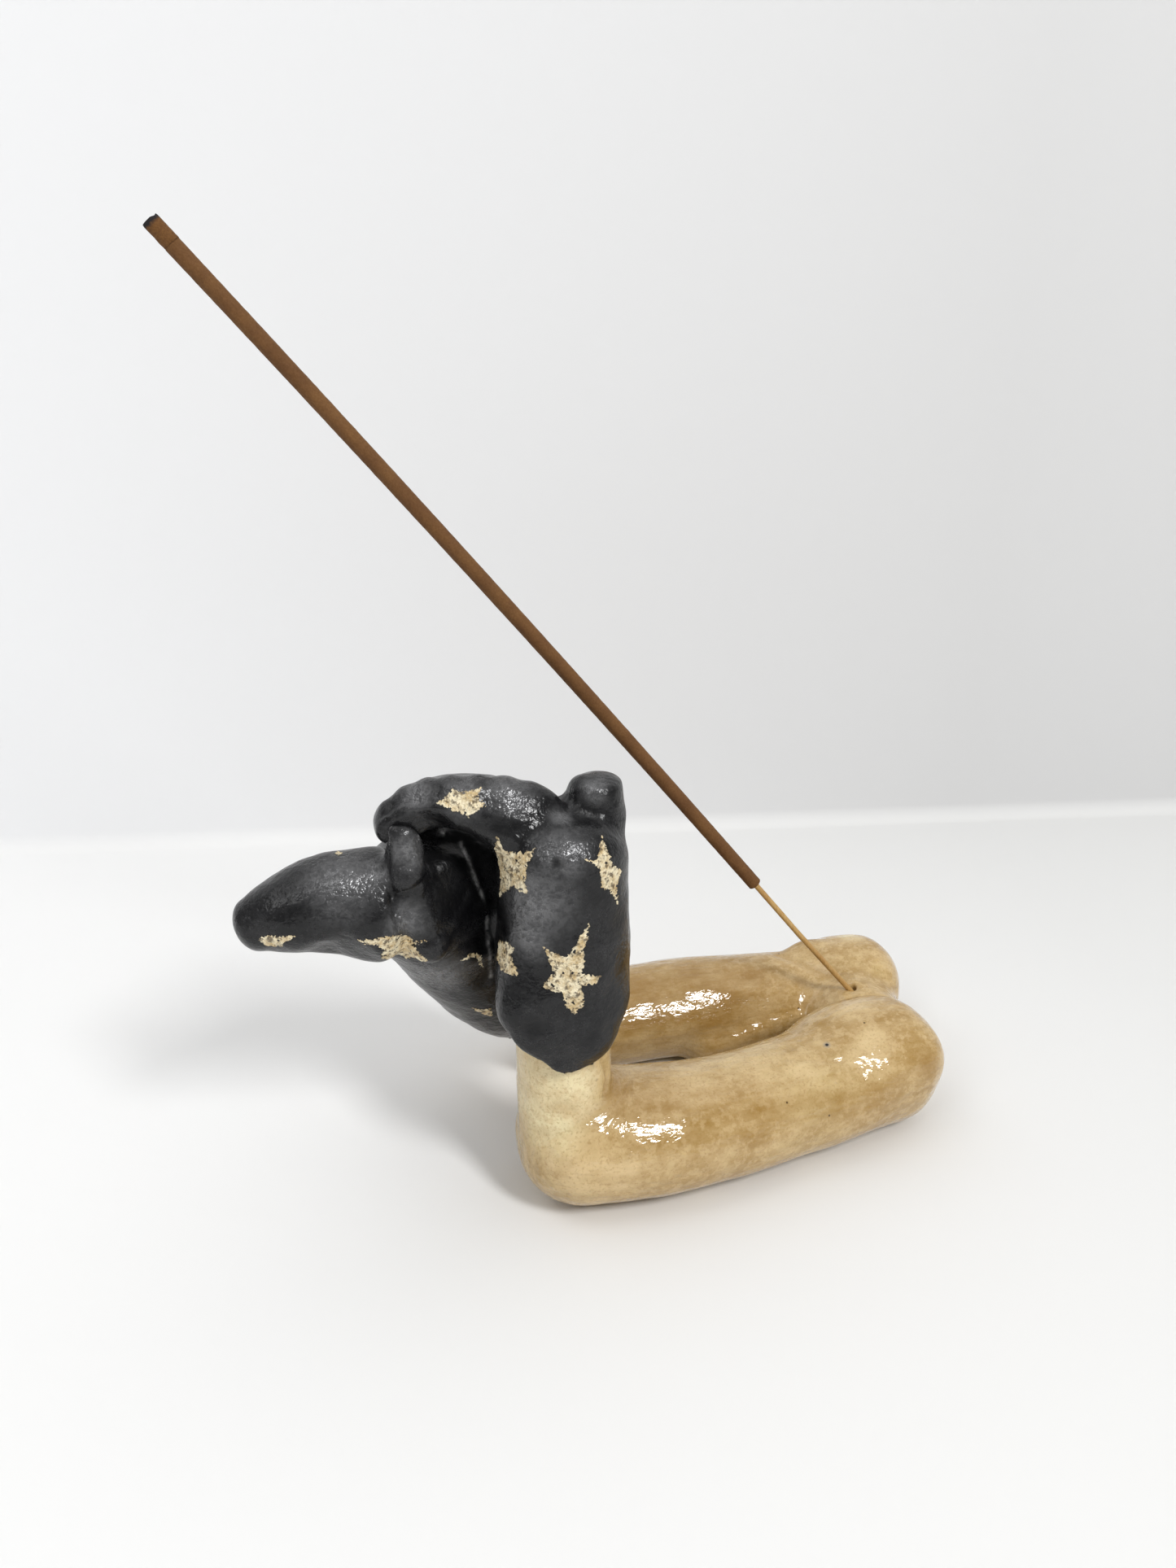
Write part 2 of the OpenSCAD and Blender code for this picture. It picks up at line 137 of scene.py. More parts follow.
def meshOf(bm, name):
    mesh = bpy.data.meshes.new(name)
    bm.to_mesh(mesh)
    bm.free()
    return mesh


def treeOf(piece):
    return BVHTree.FromObject(piece, bpy.context.evaluated_depsgraph_get())


def readRows(items, name, wide, kind=float):
    flat = np.empty(len(items) * wide, dtype=kind)
    items.foreach_get(name, flat)
    return flat.reshape(-1, wide)


def pointsOf(mesh):
    return readRows(mesh.vertices, "co", 3)


def normalsOf(mesh):
    return readRows(mesh.vertices, "normal", 3)


def edgesOf(mesh):
    return readRows(mesh.edges, "vertices", 2, np.int64)


def setPoints(mesh, points):
    mesh.vertices.foreach_set("co", points.ravel())
    mesh.update()


def distances(points, place):
    return np.linalg.norm(points - np.array(place), axis=1)


def relaxed(points, edges, rounds, share=0.5):
    # each point moves towards the middle of its neighbours
    many = np.bincount(edges.ravel(), minlength=len(points))[:, None]
    for _ in range(rounds):
        total = np.empty_like(points)
        for axis in range(points.shape[1]):
            total[:, axis] = (np.bincount(edges[:, 0], points[edges[:, 1], axis], len(points))
                              + np.bincount(edges[:, 1], points[edges[:, 0], axis], len(points)))
        points = points + share * (total / many - points)
    return points


def firm(points, edges, rounds):
    # relaxes the small bumps away, then gives back what the broad shape lost
    soft = relaxed(points, edges, rounds)
    return soft + relaxed(points - soft, edges, rounds)


def ripple(points, size, seed):
    # smooth noise between -1 and 1 with lumps of the given size
    shift = Vector([seed * step for step in clay["noiseStep"]])
    return np.array([noise.noise(Vector(p) / size + shift) for p in points])


def largestShell(mesh):
    # drops the small closed bubbles that a remesh leaves inside touching solids
    bm = bmesh.new()
    bm.from_mesh(mesh)
    left, shells = set(bm.verts), []
    while left:
        start = left.pop()
        shell, edge = [start], [start]
        while edge:
            for link in edge.pop().link_edges:
                for vert in link.verts:
                    if vert in left:
                        left.discard(vert)
                        shell.append(vert)
                        edge.append(vert)
        shells.append(shell)
    shells.sort(key=len)
    for shell in shells[:-1]:
        bmesh.ops.delete(bm, geom=shell, context="VERTS")
    bm.to_mesh(mesh)
    bm.free()


def plumpLump(mesh, voxel, rounds, share):
    # a rounded lump of clay with the size of this solid times the share
    piece = addPiece("lump", mesh.copy())
    lump = remeshed(piece, voxel)
    points = pointsOf(lump)
    soft = relaxed(points, edgesOf(lump), rounds)
    middle, before = (points.max(axis=0) + points.min(axis=0)) / 2, np.ptp(points, axis=0)
    setPoints(lump, middle + (soft - soft.mean(axis=0)) * before / np.ptp(soft, axis=0) * share)
    bpy.data.objects.remove(piece)
    return lump


def clayFrom(name, nodes, voxel, swell, dabs, plump):
    # one closed skin round copies of these CAD solids and dabs of clay; the solids first swell all over by
    # the given amount
    whole = bmesh.new()
    for place, radius in dabs:
        bmesh.ops.create_icosphere(whole, subdivisions=4, radius=radius, matrix=Matrix.Translation(place))
    for node in nodes:
        solid = bmesh.new()
        mesh = frame["nodes"][node].data
        solid.from_mesh(plumpLump(mesh, voxel * clay["coarse"], *plump[node]) if node in plump else mesh)
        bmesh.ops.remove_doubles(solid, verts=solid.verts, dist=1e-6)
        solid.normal_update()
        for vert in solid.verts:
            vert.co += vert.normal * swell
        spare = meshOf(solid, "spare")
        whole.from_mesh(spare)
        bpy.data.meshes.remove(spare)
    piece = addPiece(name, meshOf(whole, name))
    mesh = remeshed(piece, voxel)
    mesh.materials.clear()
    largestShell(mesh)
    return piece


def castMarks(piece, pixels):
    # where pixels land on the piece, with the surface's normals there
    tree = treeOf(piece)
    places, ways = [], []
    for x, y in pixels:
        hit, normal, _, _ = tree.ray_cast(eye, sightLine(x, y))
        if hit is not None:
            places.append(hit)
            ways.append(normal)
    return places, ways


def lineReach(points, line):
    # each point's distance from a run of straight stretches
    best = np.full(len(points), 1e9)
    for start, end in zip(line[:-1], line[1:]):
        a, way = np.array(start), np.array(end) - np.array(start)
        along = np.clip(((points - a) @ way) / max(way @ way, least), 0, 1)
        best = np.minimum(best, distances(points, a + along[:, None] * way))
    return best


def lineMask(piece, line, width):
    # 1 along a line of pixels, fading out to its sides
    reach = lineReach(pointsOf(piece.data), castMarks(piece, line)[0])
    return np.exp(-(reach / (width * mm)) ** 2)


def workClay(piece, marks):
    # presses grooves and raises ridges: line, width and height
    for line, width, height in marks:
        push = height * mm * lineMask(piece, line, width)
        setPoints(piece.data, pointsOf(piece.data) + normalsOf(piece.data) * push[:, None])
    print(piece.name, "worked along", len(marks), "lines")


def solidTree(nodes):
    # what sight lines hit on these CAD solids, hidden or not
    points, faces = [], []
    for node in nodes:
        mesh, first = frame["nodes"][node].data, len(points)
        points += [vert.co[:] for vert in mesh.vertices]
        faces += [[first + index for index in face.vertices] for face in mesh.polygons]
    return BVHTree.FromPolygons(points, faces)


def laidDabs(nodes, dabs):
    # pixel, radius and how far each dab stands out of the solids
    tree, placed = solidTree(nodes), []
    for pixel, radius, rise in dabs:
        way = sightLine(*pixel)
        hit = tree.ray_cast(eye, way)[0]
        if hit is not None:
            placed.append((hit + way * (radius * mm - rise * mm), radius * mm))
    return placed


def pullClay(piece, pulls):
    # drags the clay from one pixel to another and away from the eye, fading out at the reach
    for start, end, reach, back in pulls:
        places, _ = castMarks(piece, [start])
        for place in places:
            move = (sightLine(*end) - sightLine(*start)) * (place - eye).length
            move += sightLine(*end) * (back * mm)
            points = pointsOf(piece.data)
            near = np.clip(1 - (distances(points, place) / (reach * mm)) ** 2, 0, 1)
            setPoints(piece.data, points + (near ** 2)[:, None] * np.array(move))
    print(piece.name, "pulled", len(pulls), "times")


def tuckIn(piece, covers):
    # sinks the skin where another piece covers it or lies against it
    margin = clay["tuckMargin"] * mm
    points = pointsOf(piece.data)
    sink = np.zeros(len(points))
    for cover in covers:
        tree = treeOf(cover)
        for index, point in enumerate(points):
            hit = tree.find_nearest(Vector(point), margin * clay["tuckSearch"])
            if hit[0] is not None:
                inside = (Vector(point) - hit[0]).dot(hit[1]) < 0
                near = np.clip(clay["tuckFade"] - hit[3] / margin, 0, 1)
                sink[index] = max(sink[index], 1 if inside else near)
    setPoints(piece.data, points - normalsOf(piece.data) * (sink * (clay["tuckDepth"] * mm))[:, None])
    print(piece.name, "tucked in at", int((sink > 0).sum()), "points")


def nearPlaces(piece, places):
    # 1 at the pixels, falling to 0 at each one's distance
    mask = np.zeros(len(piece.data.vertices))
    points = pointsOf(piece.data)
    for pixel, reach in places:
        for hit in castMarks(piece, [pixel])[0]:
            mask = np.maximum(mask, np.clip(1 - distances(points, hit) / (reach * mm), 0, 1))
    return mask * mask * (3 - 2 * mask)


def keepFeature(mesh, name, values):
    # stores one number or vector for each point of the skin, for its material
    kind = "FLOAT" if values.ndim == 1 else "FLOAT_VECTOR"
    layer = mesh.attributes.new(name, kind, "POINT")
    layer.data.foreach_set("value" if values.ndim == 1 else "vector", values.ravel())


def hollowOf(mesh, rounds):
    # how far each point lies in a hollow (over 0) or on a crest (under 0), in millimetres
    points = pointsOf(mesh)
    soft = relaxed(points, edgesOf(mesh), rounds)
    return np.einsum("ij,ij->i", soft - points, normalsOf(mesh)) / mm


def closeTo(points, node, reach):
    # 1 by the corners of this CAD solid, falling to 0 some reaches away from them
    corners = pointsOf(frame["nodes"][node].data)
    tree = KDTree(len(corners))
    for index, corner in enumerate(corners):
        tree.insert(corner, index)
    tree.balance()
    away = np.array([tree.find(p)[2] for p in points])
    return np.clip(clay["solidFade"] - away / reach, 0, 1)


def softenClay(piece, wanted, spare=1.0):
    # rounds the skin off, most round the solids that should be softer, and gives it its lumps
    mesh = piece.data
    points, edges = pointsOf(mesh), edgesOf(mesh)
    points = (firm if wanted["keepSize"] else relaxed)(points, edges, wanted["softRounds"])
    for node, reach, rounds in wanted["softer"]:
        share = (0.5 * closeTo(points, node, reach * mm) * spare)[:, None]
        points = relaxed(points, edges, rounds, share)
    setPoints(mesh, points)
    points = points - normalsOf(mesh) * (wanted["swell"] * mm)
    setPoints(mesh, points)
    push = np.zeros(len(points))
    for seed, (size, height) in enumerate(wanted["lumps"], 1):
        push += height * mm * ripple(points, size * mm, seed)
    push *= np.clip(points[:, 2] / (clay["footPrint"] * mm), 0, 1)
    points = points + normalsOf(mesh) * push[:, None]
    points[:, 2] = np.maximum(points[:, 2], 0)
    setPoints(mesh, points)


def shadeSmooth(mesh):
    mesh.polygons.foreach_set("use_smooth", np.ones(len(mesh.polygons), dtype=bool))
    mesh.update()


def feed(inputs, values):
    # links or sets each input that has a value here
    for key, value in values.items():
        if isinstance(value, bpy.types.NodeSocket):
            value.id_data.links.new(value, inputs[key])
        else:
            inputs[key].default_value = value


def addNode(tree, kind, inputs=(), **settings):
    node = tree.nodes.new(kind)
    for key, value in settings.items():
        setattr(node, key, value)
    feed(node.inputs, dict(inputs))
    return node


def blend(share, first, second):
    # one colour over another; the first value here and below is a socket, which knows its tree
    node = addNode(share.id_data, "ShaderNodeMix", {0: share, 6: first, 7: second}, data_type="RGBA")
    return node.outputs[2]


def between(value, low, high, fromLow=0.0, fromHigh=1.0):
    # a value moved from one range to another, held inside it
    node = addNode(value.id_data, "ShaderNodeMapRange", {
        "Value": value, "From Min": fromLow, "From Max": fromHigh, "To Min": low, "To Max": high})
    return node.outputs["Result"]


def sums(operation, first, second, clamp=False):
    values = {0: first, 1: second}
    return addNode(first.id_data, "ShaderNodeMath", values, operation=operation, use_clamp=clamp).outputs[0]


def times(first, second, clamp=False):
    return sums("MULTIPLY", first, second, clamp)


def plus(first, second, clamp=False):
    return sums("ADD", first, second, clamp)


def measured(operation, first, second):
    # one number from two vectors
    values = {0: first, 1: second}
    return addNode(first.id_data, "ShaderNodeVectorMath", values, operation=operation).outputs["Value"]


def newGroup(name, numbers, result):
    # a shader group that turns a place and some numbers into one number
    group = bpy.data.node_groups.new(name, "ShaderNodeTree")
    group.interface.new_socket("Where", in_out="INPUT", socket_type="NodeSocketVector")
    for label in numbers:
        group.interface.new_socket(label, in_out="INPUT", socket_type="NodeSocketFloat")
    group.interface.new_socket(result, in_out="OUTPUT", socket_type="NodeSocketFloat")
    return group, group.nodes.new("NodeGroupInput").outputs, group.nodes.new("NodeGroupOutput").inputs


def makePatches():
    # cloudy patches with edges as sharp as wanted
    group, given, out = newGroup("patches", ("Scale", "Detail", "Low", "High"), "Mask")
    cloud = addNode(group, "ShaderNodeTexNoise", {
        "Vector": given["Where"], "Scale": given["Scale"], "Detail": given["Detail"], "Roughness": 0.62})
    feed(out, {"Mask": between(cloud.outputs["Fac"], 0.0, 1.0, given["Low"], given["High"])})
    return group


def makeSpecks():
    # small round specks; only some of the cells have one
    group, given, out = newGroup("specks", ("Scale", "Size", "Share"), "Mask")
    cells = addNode(group, "ShaderNodeTexVoronoi", {"Vector": given["Where"], "Scale": given["Scale"]})
    near = between(cells.outputs["Distance"], 1.0, 0.0, 0.0, given["Size"])
    pick = addNode(group, "ShaderNodeSeparateColor", {0: cells.outputs["Color"]}).outputs[0]
    feed(out, {"Mask": times(near, sums("LESS_THAN", pick, given["Share"]))})
    return group


def makeUneven():
    # the ripples of a surface at two sizes, as a height
    group, given, out = newGroup("unevenSurface", ("Broad", "Fine", "Fine share"), "Height")
    broad, fine = [addNode(group, "ShaderNodeTexNoise", {
        "Vector": given["Where"], "Scale": given[size], "Detail": 2.0}).outputs["Fac"]
        for size in ("Broad", "Fine")]
    feed(out, {"Height": plus(broad, times(fine, given["Fine share"]))})
    return group


patches, specks, uneven = makePatches(), makeSpecks(), makeUneven()


def useGroup(group, where, values):
    # what the group gives at these places, with its numbers in the order of its inputs
    node = addNode(where.id_data, "ShaderNodeGroup", node_tree=group)
    feed(node.inputs, dict(enumerate([where, *values])))
    return node.outputs[0]


def masksOf(where, look):
    # the look's patches and specks by name
    masks = {name: useGroup(patches, where, values) for name, values in look["patches"].items()}
    masks.update({name: useGroup(specks, where, values) for name, values in look.get("specks", {}).items()})
    return masks


def veiled(colour, masks, look):
    # the colour under the look's veils: mask, weight and colour of each
    for name, weight, over in look["veils"]:
        colour = blend(times(masks[name], weight), colour, look[over])
    return colour


def newMaterial(name):
    material = bpy.data.materials.new(name)
    material.use_nodes = True
    where = addNode(material.node_tree, "ShaderNodeTexCoord").outputs["Object"]
    return material, material.node_tree.nodes["Principled BSDF"], where


def finishLook(shader, height, bump, values):
    # feeds the shader, with a bump of this depth and strength
    depth, strength = bump
    node = addNode(height.id_data, "ShaderNodeBump", {
        "Height": height, "Strength": strength, "Distance": depth * mm})
    feed(shader.inputs, {"Normal": node.outputs["Normal"], **values})


def stretched(where, scale, turn=(0, 0, 0)):
    values = {"Vector": where, "Scale": scale, "Rotation": turn}
    return addNode(where.id_data, "ShaderNodeMapping", values).outputs["Vector"]


def makePlain(name, look):
    # one colour over another under veils, with ripples or the first mask for a bump
    material, shader, where = newMaterial(name)
    masks = masksOf(where, look)
    if "grain" in look:
        turn = slide.rotation_difference(Vector((0, 0, 1))).to_euler()
        masks["grain"] = useGroup(patches, stretched(where, look["fibre"], turn), look["grain"])
    ground, under, over = look["ground"]
    rough, low, high = look["rough"]
    colour = veiled(blend(masks[ground], look[under], look[over]), masks, look)
    height = useGroup(uneven, where, look["ripples"]) if "ripples" in look else masks[ground]
    finishLook(shader, height, look["bump"], {
        "Base Color": colour, "Roughness": between(masks[rough], low, high), **look.get("shine", {})})
    return material


def feature(where, name, output="Fac"):
    return addNode(where.id_data, "ShaderNodeAttribute", attribute_name=name).outputs[output]


def spots(where, places, size):
    # a mask that is 1 close to any of the places
    mask = None
    for place in places:
        reach = measured("DISTANCE", where, place)
        near = between(reach, 1.0, 0.0, size * mm * 0.5, size * mm)
        mask = near if mask is None else sums("MAXIMUM", mask, near)
    return mask


creamLegs = {
    "nodes": ["near_hip", "near_thigh", "near_calf", "far_hip", "far_thigh", "far_calf", "hip_bridge"],
    "voxel": 0.72,
    "swell": 0.0,
    "softRounds": 26,
    "keepSize": False,
    "lumps": [(22, 0.45), (9, 0.16), (3.2, 0.035)],  # size and height
    "hollowRounds": 70,
    # line, width and height: the cut line on the near leg, the slit behind the near knee
    "marks": [([(967, 1301), (1000, 1303), (1038, 1305)], 0.6, -0.35),
              ([(741, 1304), (747, 1322), (744, 1344)], 1.0, -0.8),
              ([(957, 1174), (985, 1184), (1015, 1198), (1036, 1210)], 1.5, -0.6),
              ([(845, 1210), (900, 1220), (965, 1227)], 3.5, 0.5)],
    # pixel, where it goes, reach and push away from the eye
    "pulls": [((1142, 1352), (1136, 1342), 17, 0), ((1148, 1290), (1154, 1292), 14, 0),
              ((990, 1166), (984, 1159), 9, 0)],
    # pixel, radius and rise of the clay where the far thigh leans towards the near one
    "dabs": [((868, 1279), 8, 1.5), ((895, 1273), 8, 1.7), ((922, 1265), 8, 1.7),
             ((948, 1256), 7, 1.3), ((968, 1247), 6, 0.8)],
    # the saddle is rounded but for its hole, where the clay stands up round the stick
    "softer": [("hip_bridge", 3.5, 130)],
    "hole": ((1049, 1217), 2.4, 4.5),
    "saddle": (10, 1.8),
    "calfEnds": (12, 6),  # what shows where a calf stands
    "brushTurn": (0.3, 24, 8),  # share of the calf, reach and fade
    # where the glaze lies thick, along lines and round pixels, and where it is creamy or pale
    "bands": [([(770, 1350), (850, 1352), (930, 1362), (1010, 1362), (1090, 1345)], 6, 0.42),
              ([(780, 1400), (860, 1398), (940, 1392)], 3.5, 0.30)],
    "thick": [((790, 1235), 34), ((880, 1240), 32), ((925, 1200), 10), ((850, 1196), 16), ((1142, 1306), 8)],
    "creamy": [((850, 1322), 12), ((930, 1305), 14), ((985, 1318), 10), ((1070, 1300), 12), ((700, 1440), 14),
               ((760, 1445), 12), ((820, 1440), 9), ((1045, 1235), 9), ((1095, 1190), 9), ((800, 1290), 12)],
    "pale": [((652, 1335), 18), ((690, 1335), 18), ((675, 1380), 12), ((1045, 1150), 6)],
    "ironSpots": [(1062, 1257), (1019, 1371), (981, 1239), (967, 1355), (957, 1172)],
    "ironSize": 0.38,
    "pinhole": (1016, 1284),
    "pinholeSize": (1.3, 0.62),  # its grey edge and the hole
    # patches of glaze: scale, detail, low and high
    "patches": {"clouds": (75, 6, 0.40, 0.60), "green": (38, 3, 0.45, 0.70),
                "dabs": (420, 8, 0.49, 0.58), "pits": (1400, 4, 0.52, 0.66)},
    "streaks": (240, 10, 0.36, 0.64),
    "streakStretch": (0.32, 1, 1),
    "rippleStretch": (0.45, 1, 1),
    "ripples": (330, 1100, 0.32),  # broad, fine and the share of the fine ones
    "specks": {"rust": (210, 0.11, 0.07), "drips": (270, 0.26, 0.10)},  # scale, size and share
    "dripHeight": 0.35,
    "bump": (0.45, 1.0),  # depth and strength
    "paleWeights": {"streaks": 0.45, "clouds": 0.35, "pale": 0.5, "creamy": 0.45},
    "greenWeight": (0.8, 0.12),  # in the pale glaze and everywhere
    "veils": [("dabs", 0.45, "cream"), ("pits", 0.36, "deep"), ("thick", 1.0, "deep"),
              ("hollow", 0.45, "deep"), ("rust", 0.6, "iron")],
    "honey": (0.35, 0.21, 0.058, 1),
    "cream": (0.65, 0.48, 0.25, 1),
    "greenish": (0.68, 0.60, 0.29, 1),
    "milky": (0.93, 0.84, 0.53, 1),
    "deep": (0.30, 0.165, 0.04, 1),
    "iron": (0.10, 0.055, 0.02, 1),
    "pinEdge": (0.2, 0.2, 0.2, 1),
    "pinDark": (0.004, 0.004, 0.004, 1),
    "shine": {"IOR": 1.52, "Subsurface Weight": 0.06, "Subsurface Radius": (0.0020, 0.0012, 0.0006),
              "Subsurface Scale": 1.0},
}


def brushWay(points, calves):
    # the way of the brush: along the thighs, and up the calves above the knees
    turnShare, wide, fade = creamLegs["brushTurn"]
    way = points.copy()
    for start, end in calves:
        a, run = np.array(start), np.array(end) - np.array(start)
        turn = Vector(run).rotation_difference(Vector((1, 0, 0))).to_matrix()
        along = ((points - a) @ run) / (run @ run)
        side = distances(points, a + along[:, None] * run)
        share = np.clip(along / turnShare, 0, 1) * np.clip((wide * mm - side) / (fade * mm), 0, 1)
        turned = (points - a) @ np.array(turn).T + a
        way = way + share[:, None] * (turned - way)
    return way


def makeCreamGlaze(piece):
    look = creamLegs
    material, shader, where = newMaterial("creamGlaze")
    brush = feature(where, "brushWay", "Vector")
    masks = masksOf(where, look)
    masks["streaks"] = useGroup(patches, stretched(brush, look["streakStretch"]), look["streaks"])
    masks["hollow"] = between(feature(where, "hollow"), 0.0, 1.0, -0.02, 0.6)
    for name in ("thick", "pale", "creamy"):
        masks[name] = feature(where, name)
    masks["thick"] = times(masks["thick"], between(masks["streaks"], 0.85, 0.45))

    paleShare = 0.0
    for name, weight in look["paleWeights"].items():
        paleShare = plus(times(masks[name], weight), paleShare, True)
    colour = blend(paleShare, look["honey"], look["cream"])
    inPale, everywhere = look["greenWeight"]
    greenShare = plus(times(masks["pale"], inPale), everywhere, True)
    colour = blend(times(masks["green"], greenShare), colour, look["greenish"])
    milk = times(masks["pale"], between(masks["clouds"], 0.35, 0.8))
    colour = veiled(blend(milk, colour, look["milky"]), masks, look)
    ironPlaces, _ = castMarks(piece, look["ironSpots"])
    colour = blend(spots(where, ironPlaces, look["ironSize"]), colour, look["iron"])
    pinPlaces, _ = castMarks(piece, [look["pinhole"]])
    edge, hole = [spots(where, pinPlaces, size) for size in look["pinholeSize"]]
    colour = blend(times(edge, 0.45), colour, look["pinEdge"])
    colour = blend(hole, colour, look["pinDark"])

    height = useGroup(uneven, stretched(brush, look["rippleStretch"]), look["ripples"])
    height = plus(height, times(masks["drips"], look["dripHeight"]))
    rough = between(masks["clouds"], 0.03, 0.08)
    finishLook(shader, height, look["bump"], {"Base Color": colour, "Roughness": rough, **look["shine"]})
    return material


def raiseSaddle(piece, hole):
    # the clay stands up round the hole, along the stick
    reach, rise = creamLegs["saddle"]
    points = pointsOf(piece.data)
    near = np.clip(1 - (distances(points, hole) / (reach * mm)) ** 2, 0, 1)
    setPoints(piece.data, points + (rise * mm * near ** 2)[:, None] * np.array(slide))


def calfLines():
    # from the foot to the head of each calf
    foot, head = creamLegs["calfEnds"]
    lines = []
    for node in ("near_calf", "far_calf"):
        points = pointsOf(frame["nodes"][node].data)
        high = points[:, 2]
        lines.append((points[high < high.min() + foot * mm].mean(axis=0),
                      points[high > high.max() - head * mm].mean(axis=0)))
    return lines


def makeCreamLegs():
    wanted = creamLegs
    dabs = laidDabs(wanted["nodes"], wanted["dabs"])
    piece = clayFrom("creamLegs", wanted["nodes"], wanted["voxel"] * mm, wanted["swell"] * mm, dabs, {})
    pixel, near, far = wanted["hole"]
    hole = castMarks(piece, [pixel])[0][0]
    away = distances(pointsOf(piece.data), hole)
    softenClay(piece, wanted, np.clip((away - near * mm) / (far * mm - near * mm), 0, 1))
    raiseSaddle(piece, hole)
    workClay(piece, wanted["marks"])
    pullClay(piece, wanted["pulls"])
    mesh = piece.data
    keepFeature(mesh, "hollow", hollowOf(mesh, wanted["hollowRounds"]))
    thick = nearPlaces(piece, wanted["thick"])
    for line, width, strength in wanted["bands"]:
        thick = np.maximum(thick, strength * lineMask(piece, line, width))
    keepFeature(mesh, "thick", thick)
    for name in ("creamy", "pale"):
        keepFeature(mesh, name, nearPlaces(piece, wanted[name]))
    keepFeature(mesh, "brushWay", brushWay(pointsOf(mesh), calfLines()))
    shadeSmooth(mesh)
    mesh.materials.append(makeCreamGlaze(piece))
    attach(piece, "burner")
    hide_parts(*creamLegs["nodes"])
    print("cream legs:", len(mesh.polygons), "faces")
    return piece


creamSkin = makeCreamLegs()

nearBoot = {
    "name": "nearBoot",
    "nodes": ["near_boot_shaft", "near_boot_foot", "near_boot_heel"],
    # pixel, radius and rise: the heel runs into the shaft, and the foot is round below its top
    "dabs": [((728, 984), 7, 0.4), ((482, 998), 3.5, 0.3), ((504, 985), 4.5, 0.7), ((528, 980), 5, 1.1),
             ((556, 979), 5.5, 1.3), ((588, 981), 6, 1.3), ((618, 985), 6.5, 1.0), ((645, 994), 7, 0.6)],
    # the tongue hangs low and wide
    "pulls": [((690, 1292), (684, 1308), 13, 0), ((652, 1250), (634, 1272), 13, 0),
              ((628, 1215), (618, 1234), 12, 0), ((735, 1270), (741, 1284), 10, 0),
              ((765, 1225), (770, 1232), 8, 0), ((680, 984), (691, 986), 6, 0),
              ((708, 962), (706, 958), 5, 0), ((768, 975), (763, 976), 7, 0),
              ((500, 1014), (500, 1000), 6, 0), ((530, 1014), (530, 1001), 6, 0),
              ((478, 1020), (477, 1012), 4, 0)],
    "softer": [("near_boot_heel", 2.5, 36)],
    "smooth": [((500, 985), 9, 30)],
    # dents under the heel and on the shaft, the creases of the tongue
    "marks": [([(704, 1006), (724, 1001)], 2.6, -0.9), ([(676, 1046), (688, 1074)], 1.3, -0.5),
              ([(604, 1012), (640, 1022), (668, 1012)], 1.8, -0.5),
              ([(640, 1282), (700, 1296), (745, 1270)], 3.0, -0.35),
              ([(655, 1262), (676, 1262)], 2.5, -0.5), ([(672, 1088), (700, 1096)], 1.5, -0.35)],
    # where the glaze is thinner, painted brighter where highlights fall, and where it pooled, with painted
    # shade in dents and creases
    "thinGlazeAndPaintedSheen": [((655, 1110), 13), ((690, 1050), 9), ((650, 1150), 8), ((625, 975), 8), ((733, 968), 5),
              ((510, 975), 6), ((570, 978), 7), ((690, 1005), 4)],
    "poolsAndPaintedShade": [((715, 1002), 4), ((762, 1130), 8), ((540, 1008), 4), ((655, 1262), 5),
              ((612, 1015), 4), ((684, 1060), 2.5), ((754, 975), 4)],
}

farBoot = {
    "name": "farBoot",
    "nodes": ["far_boot_shaft", "far_boot_foot", "far_boot_heel"],
    "dabs": [((500, 1077), 5.5, 1.2)],
    # the clay between the boots: pixel, distance from the eye and radius
    "fills": [((507, 1098), 273, 5.5), ((517, 1126), 274.5, 5.5), ((529, 1158), 277.5, 5.5),
              ((500, 1070), 269.5, 4.5), ((536, 1030), 285, 8), ((556, 1040), 287, 9),
              ((576, 1056), 288, 9.5), ((594, 1084), 289, 9), ((602, 1120), 290, 8)],
    "plump": {"far_boot_heel": (30, 0.92)},  # rounds and size
    "pulls": [((572, 1100), (574, 1102), 10, 3.5), ((585, 1150), (587, 1152), 9, 3.5),
              ((596, 1195), (597, 1196), 7, 2.5), ((425, 1172), (425, 1162), 9, 0),
              ((395, 1168), (395, 1163), 6, 0)],
    "softer": [("far_boot_heel", 4, 26)],
    "smooth": [((513, 1120), 9, 90), ((484, 1186), 7, 60)],
    "marks": [([(475, 1030), (476, 1062), (479, 1090), (487, 1124)], 0.9, -0.7),
              ([(484, 1100), (498, 1099), (513, 1092), (523, 1080)], 1.2, -0.7),
              ([(510, 1056), (514, 1062)], 1.5, 0.7),
              ([(476, 1024), (484, 1012), (497, 1006), (515, 1006), (532, 1013), (545, 1022)], 0.8, 0.6)],
    # where the glaze is thinner, painted brighter where highlights fall, and where it pooled, with painted
    # shade in the dark crease between the boots
    "thinGlazeAndPaintedSheen": [((420, 1085), 12), ((497, 1132), 7), ((456, 1075), 7), ((504, 1046), 7), ((540, 1200), 12)],
    "poolsAndPaintedShade": [((570, 1050), 10), ((545, 1060), 7), ((553, 1110), 6), ((575, 1110), 9), ((592, 1160), 8),
              ((468, 1030), 2.5)],
    # lines where a grey glint is painted: the lip over the far heel and the crease between the boots
    "wearAndPaintedGlint": [[(480, 1016), (497, 1006), (515, 1006), (532, 1013), (545, 1022)],
             [(566, 1036), (575, 1056), (583, 1078), (592, 1100), (598, 1130), (601, 1165), (603, 1200)]],
}

